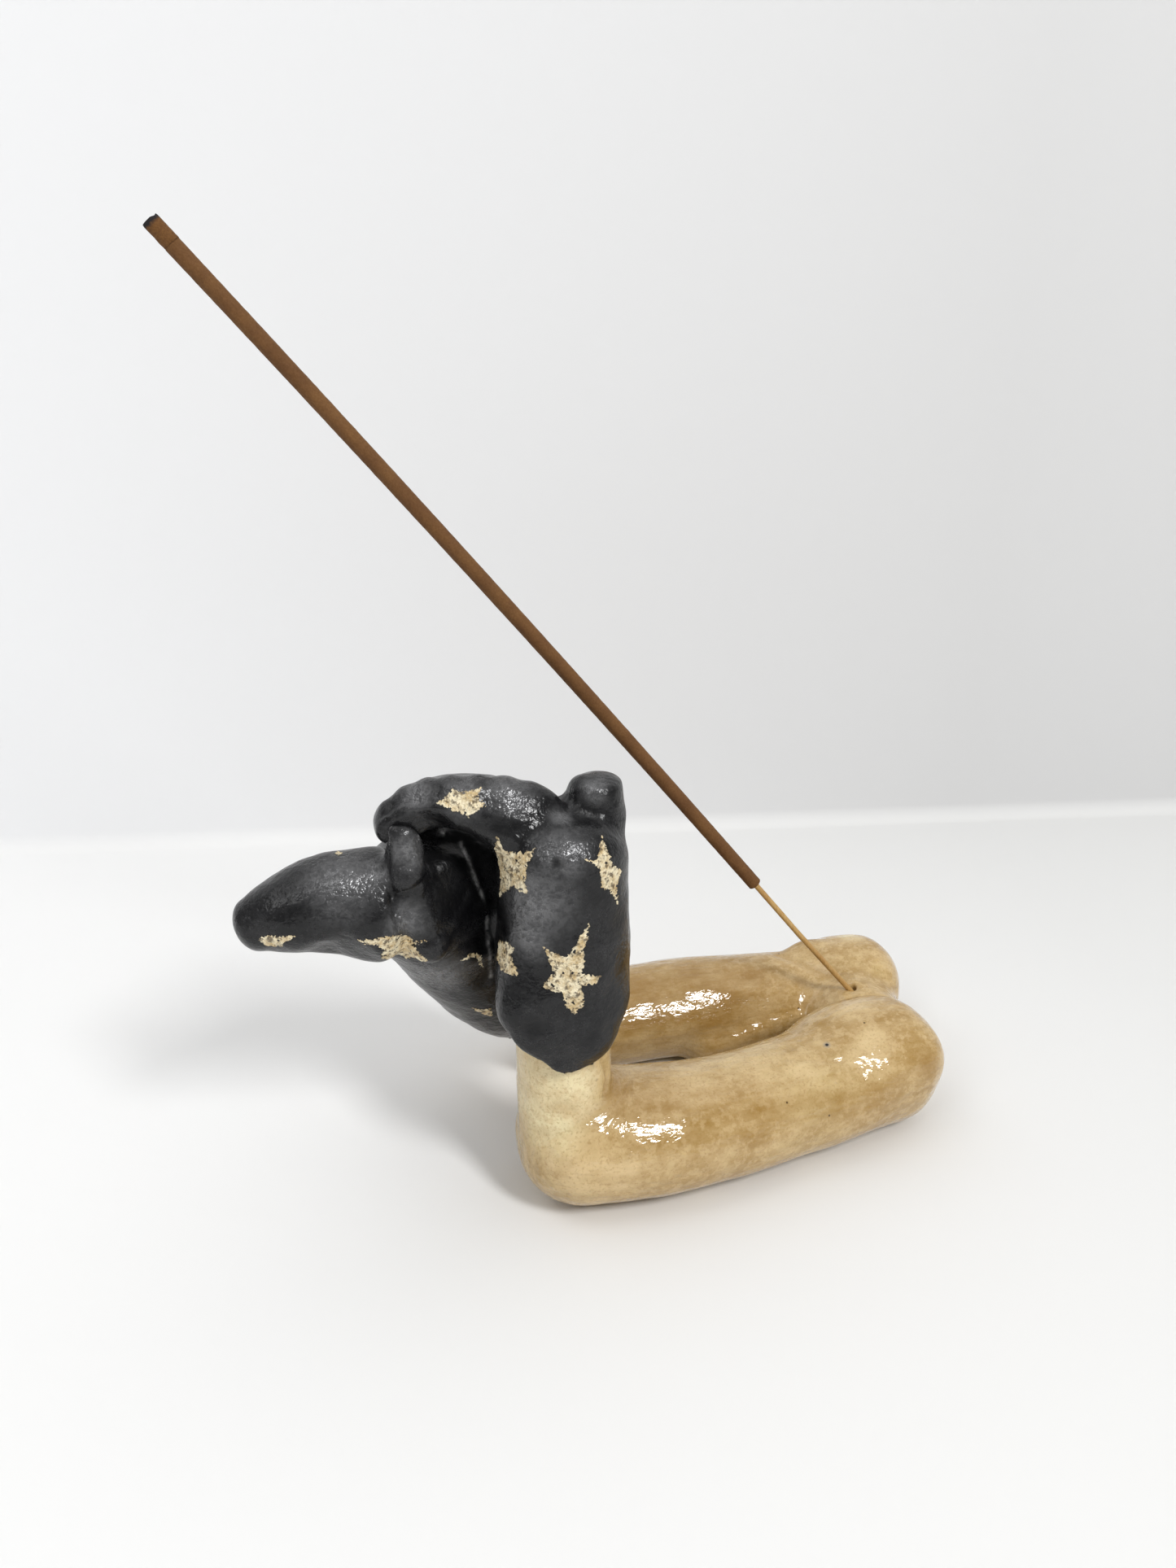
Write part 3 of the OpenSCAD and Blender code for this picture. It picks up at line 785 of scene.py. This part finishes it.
# What both boots share
bootClay = {
    "voxel": 0.55,
    "swell": 0.45,
    "softRounds": 24,
    "keepSize": True,
    "lumps": [(15, 0.5), (7, 0.28), (3, 0.11)],
    "hollowRounds": 60,
    # width and share of the painted glint lines
    "glintWidth": 0.4,
    "glintShare": 0.8,
    # patches; the last of them break up the painted glint lines
    "patches": {"clouds": (110, 5, 0.30, 0.70), "grain": (2600, 2, 0.30, 0.70),
                "glintGaps": (420, 5, 0.38, 0.62)},
    "ripples": (560, 1100, 0.8),
    "bump": (0.5, 1.0),
    "thinWeights": (0.8, 0.12),  # of the thinly glazed lustre with its painted highlights, and of the clouds
    "metal": 0.85,
    # gunmetal of the thinner glaze, also the colour of the painted highlights
    "gun": (0.20, 0.20, 0.204, 1),
    # grey of the painted glint lines
    "bare": (0.50, 0.50, 0.49, 1),
    "soot": (0.002, 0.002, 0.0025, 1),
    "ior": 1.40,
}


def makeBlackGlaze():
    # black where the glaze pooled, with painted shade in dents and creases; gunmetal lustre where the glaze
    # is thinner, painted brighter where highlights fall, and painted grey glint lines
    look = bootClay
    material, shader, where = newMaterial("blackGlaze")
    masks = masksOf(where, look)
    thinGlazeAndPaintedSheen = feature(where, "thinGlazeAndPaintedSheen")
    height = useGroup(uneven, where, look["ripples"])
    hollow = between(feature(where, "hollow"), 0.0, 1.0, 0.05, 0.8)
    # pooled glaze: the skin's hollows and the given places, painted black as shade in creases and dents
    poolAndPaintedShade = plus(hollow, feature(where, "poolAndPaintedShade"), True)
    ofPaintedSheen, ofClouds = look["thinWeights"]
    # thinner glaze with painted highlights, taken away by pooled glaze with painted shade, by grain and in
    # the dents of the bump
    thinAndPaintedSheen = plus(times(thinGlazeAndPaintedSheen, ofPaintedSheen), times(masks["clouds"], ofClouds))
    for share in (between(poolAndPaintedShade, 1.0, 0.0), between(masks["grain"], 0.8, 1.0),
                  between(height, 0.60, 1.08, 0.76, 1.0)):
        thinAndPaintedSheen = times(thinAndPaintedSheen, share, True)
    # painted glint lines, broken into gaps and painted grey
    wearAndPaintedGlint = times(feature(where, "wearAndPaintedGlint"), masks["glintGaps"])
    thinAndPaintedSheen = sums("MAXIMUM", thinAndPaintedSheen, wearAndPaintedGlint)
    colour = blend(thinAndPaintedSheen, look["soot"], look["gun"])
    colour = blend(wearAndPaintedGlint, colour, look["bare"])
    rough = plus(between(masks["clouds"], 0.16, 0.26), times(masks["grain"], 0.06))
    rough = plus(rough, times(poolAndPaintedShade, 0.15))
    height = times(height, between(thinGlazeAndPaintedSheen, 0.35, 0.9))
    finishLook(shader, height, look["bump"], {
        "Base Color": colour, "Metallic": times(thinAndPaintedSheen, look["metal"]), "Roughness": rough, "IOR": look["ior"]})
    return material


blackGlaze = makeBlackGlaze()


def makeBoot(wanted):
    look = bootClay
    dabs = [(eye + sightLine(*pixel) * (reach * mm), radius * mm)
            for pixel, reach, radius in wanted.get("fills", ())]
    dabs += laidDabs(wanted["nodes"], wanted["dabs"])
    piece = clayFrom(wanted["name"], wanted["nodes"], look["voxel"] * mm, look["swell"] * mm, dabs,
                     wanted.get("plump", {}))
    softenClay(piece, {**look, **wanted})
    for pixel, reach, rounds in wanted["smooth"]:
        share = 0.5 * nearPlaces(piece, [(pixel, reach)])[:, None]
        setPoints(piece.data, relaxed(pointsOf(piece.data), edgesOf(piece.data), rounds, share))
    pullClay(piece, wanted["pulls"])
    workClay(piece, wanted["marks"])
    mesh = piece.data
    keepFeature(mesh, "hollow", hollowOf(mesh, look["hollowRounds"]))
    # thinner glaze, painted brighter round the given pixels where highlights fall
    keepFeature(mesh, "thinGlazeAndPaintedSheen", nearPlaces(piece, wanted["thinGlazeAndPaintedSheen"]))
    # painted grey glint lines along the given pixel lines
    wearAndPaintedGlint = np.zeros(len(mesh.vertices))
    for line in wanted.get("wearAndPaintedGlint", ()):
        wearAndPaintedGlint = np.maximum(wearAndPaintedGlint, lineMask(piece, line, look["glintWidth"]))
    keepFeature(mesh, "wearAndPaintedGlint", wearAndPaintedGlint * look["glintShare"])
    # pooled glaze round the given pixels, painted black as shade in creases and dents
    keepFeature(mesh, "poolAndPaintedShade", nearPlaces(piece, wanted["poolsAndPaintedShade"]))
    shadeSmooth(mesh)
    mesh.materials.append(blackGlaze)
    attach(piece, "burner")
    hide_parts(*wanted["nodes"])
    print(wanted["name"], len(mesh.polygons), "faces")
    return piece


bootSkins = {"near": makeBoot(nearBoot), "far": makeBoot(farBoot)}

leafStars = {
    # each star's corners, going round from one ray
    "near": [
        [(668, 1164), (696, 1176), (725, 1133), (718, 1174), (716, 1196), (738, 1199), (734, 1209),
         (715, 1211), (718, 1236), (706, 1246), (696, 1239), (690, 1220), (667, 1215), (668, 1208),
         (681, 1195), (674, 1180)],
        [(611, 1027), (618, 1043), (625, 1048), (646, 1046), (658, 1043), (649, 1062), (646, 1080),
         (648, 1100), (631, 1089), (614, 1102), (615, 1074), (608, 1062), (611, 1053)],
        [(739, 1026), (747, 1048), (753, 1062), (763, 1071), (758, 1089), (759, 1111), (749, 1095),
         (738, 1092), (738, 1074), (734, 1065), (717, 1056), (731, 1056), (736, 1048)],
        [(613, 1156), (622, 1158), (633, 1165), (628, 1173), (634, 1189), (638, 1198), (628, 1199),
         (616, 1192), (611, 1177)],
        [(536, 987), (541, 984), (553, 974), (555, 968), (566, 974), (592, 967), (588, 980),
         (599, 992), (587, 996), (575, 1005), (563, 999), (547, 993)],
    ],
    "far": [
        [(440, 1155), (461, 1153), (471, 1151), (484, 1148), (508, 1156), (530, 1153), (525, 1157),
         (509, 1161), (516, 1171), (528, 1181), (499, 1178), (481, 1183), (468, 1177), (472, 1168),
         (463, 1162), (446, 1159)],
        [(315, 1155), (330, 1148), (368, 1150), (352, 1158), (345, 1163), (328, 1162)],
        [(578, 1238), (590, 1240), (603, 1239), (605, 1249), (593, 1246)],
        [(566, 1180), (580, 1170), (588, 1170), (594, 1189), (589, 1186), (585, 1176)],
        [(411, 1049), (415, 1046), (420, 1049), (415, 1052)],
    ],
    "cell": 0.18,
    "border": 3,  # cells round the outline
    "lift": 0.10,  # how far the leaf stands proud
    "least": 0.03,
    "root": 0.15,  # how far its underside goes into the glaze
    "above": 9,  # where it is dropped onto the skin from
    "crinkle": 0.14,
    "waves": [(0.7, 0.7), (0.3, 0.5)],  # size and share of the crinkle
    "ragged": 0.55,
    "fray": {"size": 1.0, "share": 0.7, "rise": 0.35, "notch": 0.5, "notchShare": 1.8},
    "holes": {"size": 1.3, "fine": 0.45, "fineShare": 0.55, "level": 0.62, "depth": 0.9},
    # how the grid's corners move onto the edge, in cells
    "snap": {"step": 0.25, "flattest": 0.3, "zone": 0.5, "longest": 0.45},
    "patches": {"clouds": (380, 6, 0.42, 0.58), "fine": (1700, 5, 0.40, 0.60),
                "cracks": (900, 8, 0.50, 0.60)},
    "specks": {"pits": (700, 0.30, 0.10)},
    "ground": ("clouds", "gold", "pale"),
    "veils": [("fine", 0.45, "pale"), ("cracks", 0.85, "shade"), ("pits", 0.8, "shade")],
    "rough": ("fine", 0.55, 0.38),
    "ripples": (900, 2400, 0.6),
    "bump": (0.7, 1.0),
    "pale": (0.90, 0.80, 0.57, 1),
    "gold": (0.58, 0.42, 0.20, 1),
    "shade": (0.09, 0.06, 0.03, 1),
    "shine": {"Metallic": 0.15},
}


def insideBy(points, corners):
    # how far each point is inside a flat outline, under 0 outside it
    reach = lineReach(points, [*corners, corners[0]])
    inside = np.zeros(len(points), dtype=bool)
    for a, b in zip(corners, np.roll(corners, -1, axis=0)):
        crosses = (a[1] > points[:, 1]) != (b[1] > points[:, 1])
        rise = np.where(abs(b[1] - a[1]) < least, least, b[1] - a[1])
        inside ^= crosses & (points[:, 0] < (b[0] - a[0]) * (points[:, 1] - a[1]) / rise + a[0])
    return np.where(inside, reach, -reach)


def leafSheet(bm, piece, tree, corners, seed):
    # one flake of leaf, cut to its ragged outline and laid on the skin
    look, fray, holes, snap = leafStars, leafStars["fray"], leafStars["holes"], leafStars["snap"]
    places, ways = castMarks(piece, corners)
    centre = sum(places, Vector()) / len(places)
    normal = sum(ways, Vector()).normalized()
    across = normal.orthogonal().normalized()
    up = normal.cross(across)
    outline = np.array([((p - centre).dot(across), (p - centre).dot(up)) for p in places])
    cell = look["cell"] * mm
    border = look["border"] * cell
    low, high = outline.min(axis=0) - border, outline.max(axis=0) + border
    wide, tall = np.ceil((high - low) / cell).astype(int) + 1
    grid = np.array([(low[0] + i * cell, low[1] + j * cell) for j in range(tall) for i in range(wide)])

    def placed(flat):
        return [centre + across * p[0] + up * p[1] for p in flat]

    def depthAt(flat):
        solid = placed(flat)
        edge = (ripple(solid, fray["size"] * mm, seed) * fray["share"] + fray["rise"]
                - fray["notchShare"] * abs(ripple(solid, fray["notch"] * mm, seed + 3)))
        wearAndPaintedGlint = (ripple(solid, holes["size"] * mm, seed + 5)
                + holes["fineShare"] * ripple(solid, holes["fine"] * mm, seed + 7))
        pits = (holes["level"] - wearAndPaintedGlint) * holes["depth"] * mm  # under 0 where the leaf has a hole
        return np.minimum(insideBy(flat, outline) + edge * (look["ragged"] * mm), pits)

    depth = depthAt(grid)
    step = cell * snap["step"]
    slope = np.stack([depthAt(grid + (step, 0)) - depthAt(grid - (step, 0)),
                      depthAt(grid + (0, step)) - depthAt(grid - (0, step))], axis=1) / (2 * step)
    size = np.maximum(np.linalg.norm(slope, axis=1), snap["flattest"])
    close = depth < cell * snap["zone"]
    move = -(slope / (size ** 2)[:, None]) * depth[:, None]
    reach = np.maximum(np.linalg.norm(move, axis=1), least)
    move *= np.minimum(1, cell * snap["longest"] / reach)[:, None]
    grid = np.where(close[:, None], grid + move, grid)
    kept = depth > -cell * snap["zone"]

    sheet = placed(grid)
    (broad, broadShare), (fine, fineShare) = look["waves"]
    wave = broadShare * ripple(sheet, broad * mm, seed + 9) + fineShare * ripple(sheet, fine * mm, seed + 11)
    tops, roots = {}, {}

    def corner(index):
        if index not in tops:
            hit, face, _, _ = tree.ray_cast(sheet[index] + normal * (look["above"] * mm), -normal)
            if hit is None:
                return None
            rise = look["lift"] * mm + look["crinkle"] * mm * wave[index]
            tops[index] = bm.verts.new(hit + face * max(rise, look["least"] * mm))
            roots[index] = bm.verts.new(hit - face * (look["root"] * mm))
        return tops[index]

    quads = []
    for j in range(tall - 1):
        for i in range(wide - 1):
            ring = [j * wide + i, j * wide + i + 1, (j + 1) * wide + i + 1, (j + 1) * wide + i]
            if all(kept[k] for k in ring) and all(corner(k) is not None for k in ring):
                quads.append(ring)
    sides = {}
    for ring in quads:
        bm.faces.new([tops[k] for k in ring])
        bm.faces.new([roots[k] for k in reversed(ring)])
        sides.update(dict.fromkeys(zip(ring, ring[1:] + ring[:1])))
    for a, b in sides:
        if (b, a) not in sides:
            bm.faces.new([tops[b], tops[a], roots[a], roots[b]])


goldLeaf = makePlain("goldLeaf", leafStars)


def makeStars(side):
    skin = bootSkins[side]
    tree = treeOf(skin)
    bm = bmesh.new()
    for seed, corners in enumerate(leafStars[side], 20):
        leafSheet(bm, skin, tree, corners, seed)
    piece = addPiece(side + "BootStars", meshOf(bm, side + "Stars"), goldLeaf)
    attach(piece, "burner")
    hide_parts(side + "_boot_stars")
    print(piece.name, len(piece.data.polygons), "faces")


for side in ("near", "far"):
    makeStars(side)

tuckIn(creamSkin, bootSkins.values())

stick = {
    "bow": 1.0,
    "tipLean": 0.7,
    "bowSight": (540, 655),  # it bows across this line of sight
    "straight": 0.14,  # the share of it that stays straight, from the foot
    "coreRadius": 0.85,
    "coatRadius": 2.0,
    "core": {"Pits": 0.10 * mm, "Pit scale": 260.0, "Rings": 420, "Seed": 2.0},
    "coat": {"Pits": 0.16 * mm, "Pit scale": 700.0, "Rings": 1100, "Seed": 5.0},
    "around": 40,
    "tipRadius": 1.9,
    "tipRings": 12,
    "tipEnd": [(1.0, 0.0), (0.72, 0.15), (0.5, 0.9), (0.0, 1.2)],  # share of the radius and depth
    "tipSkin": {"depth": 0.08, "scale": 900},
    "tipRim": {"above": 0.95, "depth": 0.9, "scale": 420},
    "bamboo": {
        "fibre": (1, 1, 0.03),
        "grain": (3200, 3, 0.35, 0.65),
        "patches": {"clouds": (120, 3, 0.40, 0.65)},
        "ground": ("grain", "plain", "pale"),
        "veils": [("clouds", 0.5, "dark")],
        "rough": ("grain", 0.42, 0.60),
        "bump": (0.05, 0.6),
        "plain": (0.44, 0.25, 0.07, 1),
        "pale": (0.57, 0.38, 0.15, 1),
        "dark": (0.36, 0.17, 0.035, 1),
    },
    "paste": {
        "patches": {"clouds": (150, 5, 0.35, 0.65), "powder": (2200, 4, 0.35, 0.65)},
        "specks": {"flecks": (900, 0.3, 0.16)},
        "ground": ("clouds", "plain", "pale"),
        "veils": [("powder", 0.45, "dark"), ("flecks", 0.55, "dark")],
        "rough": ("powder", 0.75, 0.90),
        "ripples": (900, 3600, 0.5),
        "bump": (0.18, 0.8),
        "plain": (0.125, 0.048, 0.008, 1),
        "pale": (0.175, 0.075, 0.016, 1),
        "dark": (0.085, 0.038, 0.010, 1),
    },
    "char": {
        "patches": {"edge": (700, 4, 0.2, 0.8), "powder": (2200, 4, 0.35, 0.65)},
        "specks": {"ashes": (1300, 0.3, 0.12)},
        "from": (0.9, 0.2),  # how far below the head it starts and ends turning black
        "edgeDepth": 0.9,
        "ashShare": 0.5,
        "bump": (0.15, 0.8),
        "rough": 0.9,
        "black": (0.012, 0.009, 0.010, 1),
        "ash": (0.30, 0.28, 0.26, 1),
    },
}


def endsOf(node):
    # the middles of a straight solid's two ends, lower one first
    points = pointsOf(frame["nodes"][node].data)
    along = points @ np.array(slide)
    middle = Vector((points.min(axis=0) + points.max(axis=0)) / 2)
    centre = middle - slide * middle.dot(slide)
    return centre + slide * along.min(), centre + slide * along.max()


def bowStick(pieces):
    # a stick is never quite straight: it bows to one side between its ends
    across = slide.cross(sightLine(*stick["bowSight"])).normalized()
    across = across if across.x > 0 else -across
    ends = [np.array(end) @ np.array(slide) for end in endsOf("bamboo_core") + endsOf("charred_tip")]
    low, high = min(ends), max(ends)
    for piece in pieces:
        points = pointsOf(piece.data)
        share = (points @ np.array(slide) - low) / (high - low)
        along = np.clip((share - stick["straight"]) / (1 - stick["straight"]), 0, 1)
        lean = stick["bow"] * mm * 4 * along * (1 - along) + stick["tipLean"] * mm * along
        setPoints(piece.data, points + lean[:, None] * np.array(across))


def rollTree():
    # a rolled rod between two points, with a rough skin that never grows past its radius
    tree = bpy.data.node_groups.new("rolledRod", "GeometryNodeTree")
    for label, kind in [("Foot", "Vector"), ("Head", "Vector"), ("Radius", "Float"), ("Pits", "Float"),
                        ("Pit scale", "Float"), ("Rings", "Int"), ("Seed", "Float"), ("Skin", "Material")]:
        tree.interface.new_socket(label, in_out="INPUT", socket_type="NodeSocket" + kind)
    tree.interface.new_socket("Geometry", in_out="OUTPUT", socket_type="NodeSocketGeometry")
    given = tree.nodes.new("NodeGroupInput").outputs
    line = addNode(tree, "GeometryNodeCurvePrimitiveLine", {"Start": given["Foot"], "End": given["Head"]})
    rings = addNode(tree, "GeometryNodeResampleCurve", {"Curve": line.outputs[0], "Count": given["Rings"]})
    circle = addNode(tree, "GeometryNodeCurvePrimitiveCircle", {"Resolution": 28, "Radius": 1.0})
    rod = addNode(tree, "GeometryNodeCurveToMesh", {
        "Curve": rings.outputs[0], "Profile Curve": circle.outputs[0], "Scale": given["Radius"],
        "Fill Caps": True})
    speck = addNode(tree, "ShaderNodeTexNoise", {
        "W": given["Seed"], "Scale": given["Pit scale"], "Detail": 3.0}, noise_dimensions="4D")
    depth = times(times(speck.outputs["Fac"], -1.0), given["Pits"])
    outwards = addNode(tree, "GeometryNodeInputNormal").outputs[0]
    push = addNode(tree, "ShaderNodeVectorMath", {0: outwards, "Scale": depth}, operation="SCALE")
    rough = addNode(tree, "GeometryNodeSetPosition", {"Geometry": rod.outputs[0], "Offset": push.outputs[0]})
    real = addNode(tree, "GeometryNodeRealizeInstances", {"Geometry": rough.outputs[0]})
    skin = addNode(tree, "GeometryNodeSetMaterial", {"Geometry": real.outputs[0], "Material": given["Skin"]})
    addNode(tree, "NodeGroupOutput", {"Geometry": skin.outputs[0]})
    return tree


rolledRod = rollTree()


def rollRod(name, node, material, radius, inputs):
    piece = addPiece(name, bpy.data.meshes.new(name))
    rod = piece.modifiers.new("rolledRod", "NODES")
    rod.node_group = rolledRod
    foot, head = endsOf(node)
    values = {"Foot": foot, "Head": head, "Radius": radius * mm, "Skin": material, **inputs}
    for item in rolledRod.interface.items_tree:
        if item.in_out == "INPUT":
            rod[item.identifier] = values[item.name]
    shadeSmooth(applied(piece))
    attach(piece, "stick")
    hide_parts(node)
    return piece


def makeChar(head):
    # brown like the paste at its foot, burnt black at the head
    look, paste = stick["char"], stick["paste"]
    material, shader, where = newMaterial("burntEnd")
    masks = masksOf(where, look)
    along = measured("DOT_PRODUCT", where, slide)
    level = plus(along, times(masks["edge"], look["edgeDepth"] * mm))
    first, last = [head.dot(slide) - depth * mm for depth in look["from"]]
    burnt = between(level, 0.0, 1.0, first, last)
    colour = blend(masks["powder"], paste["plain"], paste["pale"])
    colour = blend(burnt, colour, look["black"])
    ash = times(masks["ashes"], times(burnt, look["ashShare"]))
    finishLook(shader, masks["powder"], look["bump"], {
        "Base Color": blend(ash, colour, look["ash"]), "Roughness": look["rough"]})
    return material


def burntTip(foot, head, material):
    # turned from a profile: the outside, the ragged rim and the burnt-out hollow
    side = slide.orthogonal().normalized()
    across = slide.cross(side)
    length = (head - foot).length
    skin, rim, around = stick["tipSkin"], stick["tipRim"], stick["around"]
    profile = [(0.0, 0.0)] + [(stick["coatRadius"] * mm, length * k / stick["tipRings"])
                              for k in range(stick["tipRings"])]
    profile += [(stick["tipRadius"] * mm * share, length - depth * mm) for share, depth in stick["tipEnd"]]
    bm = bmesh.new()
    rows = []
    for radius, height in profile:
        if radius == 0:
            rows.append([bm.verts.new(foot + slide * height)])
            continue
        row = []
        for k in range(around):
            turn = 2 * math.pi * k / around
            way = side * math.cos(turn) + across * math.sin(turn)
            point = foot + slide * height + way * radius
            rough = noise.noise(point * skin["scale"]) * skin["depth"] * mm
            ragged = height > length * rim["above"]
            sink = abs(noise.noise(point * rim["scale"])) * rim["depth"] * mm if ragged else 0
            row.append(bm.verts.new(point - way * (skin["depth"] * mm - rough) - slide * sink))
        rows.append(row)
    for lower, upper in zip(rows[:-1], rows[1:]):
        for k in range(around):
            pairs = [(lower, k), (lower, k + 1), (upper, k + 1), (upper, k)]
            ring = dict.fromkeys(row[n % len(row)] for row, n in pairs)  # a tip's point counts once
            bm.faces.new(list(ring))
    bmesh.ops.recalc_face_normals(bm, faces=bm.faces)
    mesh = meshOf(bm, "burntTip")
    shadeSmooth(mesh)
    tip = addPiece("burntTip", mesh, material)
    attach(tip, "stick")
    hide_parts("charred_tip")
    return tip


def makeStick():
    bamboo, paste = makePlain("bareBamboo", stick["bamboo"]), makePlain("incensePaste", stick["paste"])
    core = rollRod("bambooCore", "bamboo_core", bamboo, stick["coreRadius"], stick["core"])
    coat = rollRod("incenseCoating", "incense_coating", paste, stick["coatRadius"], stick["coat"])
    foot, head = endsOf("charred_tip")
    tip = burntTip(foot, head, makeChar(head))
    bowStick((core, coat, tip))
    print("stick:", len(core.data.polygons) + len(coat.data.polygons), "faces")


makeStick()

# The table, the wall behind it and the light; lengths here are in metres
studio = {
    "wallFoot": [(40, 1052), (1400, 1004)],  # two pixels of the line where the paper turns up
    "bend": 0.007,
    "bendSteps": 16,
    "wallHeight": 1.2,
    "wallFrom": 0.001,  # where the table's colour starts to give way to the wall's
    "fade": 0.22,
    "halfWidth": 1.6,
    "front": 1.2,
    # the paper is painted a little darker on the right, as painted shade where less light falls
    "table": [(0.92, 0.92, 0.915, 1), (0.77, 0.77, 0.76, 1)],
    "wall": [(0.92, 0.925, 0.935, 1), (0.68, 0.68, 0.68, 1)],
    "world": 0.275,
    # name, place, what it points at, width, depth, watts
    "lamps": [
        ("ceilingPanel", (-0.05, 0.05, 1.30), (-0.07, 0.0, 0.0), 2.0, 1.6, 5.6),
        ("frontWindow", (0.225, -0.885, 0.88), (-0.07, 0.0, 0.04), 0.20, 0.32, 8.9),
        ("leftFill", (-1.04, -0.68, 0.96), (-0.07, 0.0, 0.04), 0.4, 0.4, 2.2),
        ("leftWindow", (-0.69, -0.05, 1.12), (-0.07, 0.0, 0.04), 0.6, 0.6, 1.4),
    ],
}


def makePaper(start, right):
    material, shader, where = newMaterial("paleSweep")
    tree = material.node_tree
    height = addNode(tree, "ShaderNodeSeparateXYZ", {0: where}).outputs["Z"]
    middle, fade = start.dot(right), studio["fade"]
    # painted shade: the table and wall darken towards the right
    across = between(measured("DOT_PRODUCT", where, right), 0.0, 1.0, middle - fade, middle + fade)
    colour = blend(between(height, 0.0, 1.0, studio["wallFrom"], studio["bend"]),
                   blend(across, *studio["table"]), blend(across, *studio["wall"]))
    feed(shader.inputs, {"Base Color": colour, "Roughness": 0.9, "Specular IOR Level": 0.0})
    # the wall can be seen through from behind
    clear = addNode(tree, "ShaderNodeBsdfTransparent")
    behind = addNode(tree, "ShaderNodeNewGeometry").outputs["Backfacing"]
    both = addNode(tree, "ShaderNodeMixShader", {0: behind, 1: shader.outputs[0], 2: clear.outputs[0]})
    feed(tree.nodes["Material Output"].inputs, {"Surface": both.outputs[0]})
    return material


def makeTable():
    ends = [eye - way * (eye.z / way.z) for way in (sightLine(*pixel) for pixel in studio["wallFoot"])]
    right = (ends[1] - ends[0]).normalized()
    ahead = Vector((-right.y, right.x, 0))
    start = Vector((eye.x, eye.y, 0))
    wallFrom = (ends[0] - start).dot(ahead)
    bend, steps = studio["bend"], studio["bendSteps"]
    profile = [(-studio["front"], 0.0), (0.0, 0.0), (wallFrom * 0.5, 0.0)]
    for k in range(steps + 1):
        turn = math.pi / 2 * k / steps
        profile.append((wallFrom + bend * math.sin(turn), bend * (1 - math.cos(turn))))
    profile.append((wallFrom + bend, studio["wallHeight"]))
    bm = bmesh.new()
    rows = []
    for reach, height in profile:
        rows.append([bm.verts.new(start + ahead * reach + right * side + Vector((0, 0, height)))
                     for side in (-studio["halfWidth"], studio["halfWidth"])])
    for a, b in zip(rows[:-1], rows[1:]):
        bm.faces.new([a[0], a[1], b[1], b[0]])
    mesh = meshOf(bm, "tableAndWall")
    shadeSmooth(mesh)
    sweep = addPiece("tableAndWall", mesh, makePaper(start, right))


def makeLight():
    world = bpy.data.worlds.new("softRoom")
    bpy.context.scene.world = world
    world.use_nodes = True
    feed(world.node_tree.nodes["Background"].inputs, {
        "Color": (1, 1, 1, 1), "Strength": studio["world"]})
    for name, place, target, wide, deep, watts in studio["lamps"]:
        data = bpy.data.lights.new(name, "AREA")
        data.shape = "RECTANGLE"
        data.size, data.size_y = wide, deep
        data.energy = watts
        aimed(addThing(name, data), place, Vector(target) - Vector(place))


makeTable()
makeLight()
bpy.context.scene.view_settings.view_transform = "Standard"
print("table and light set")
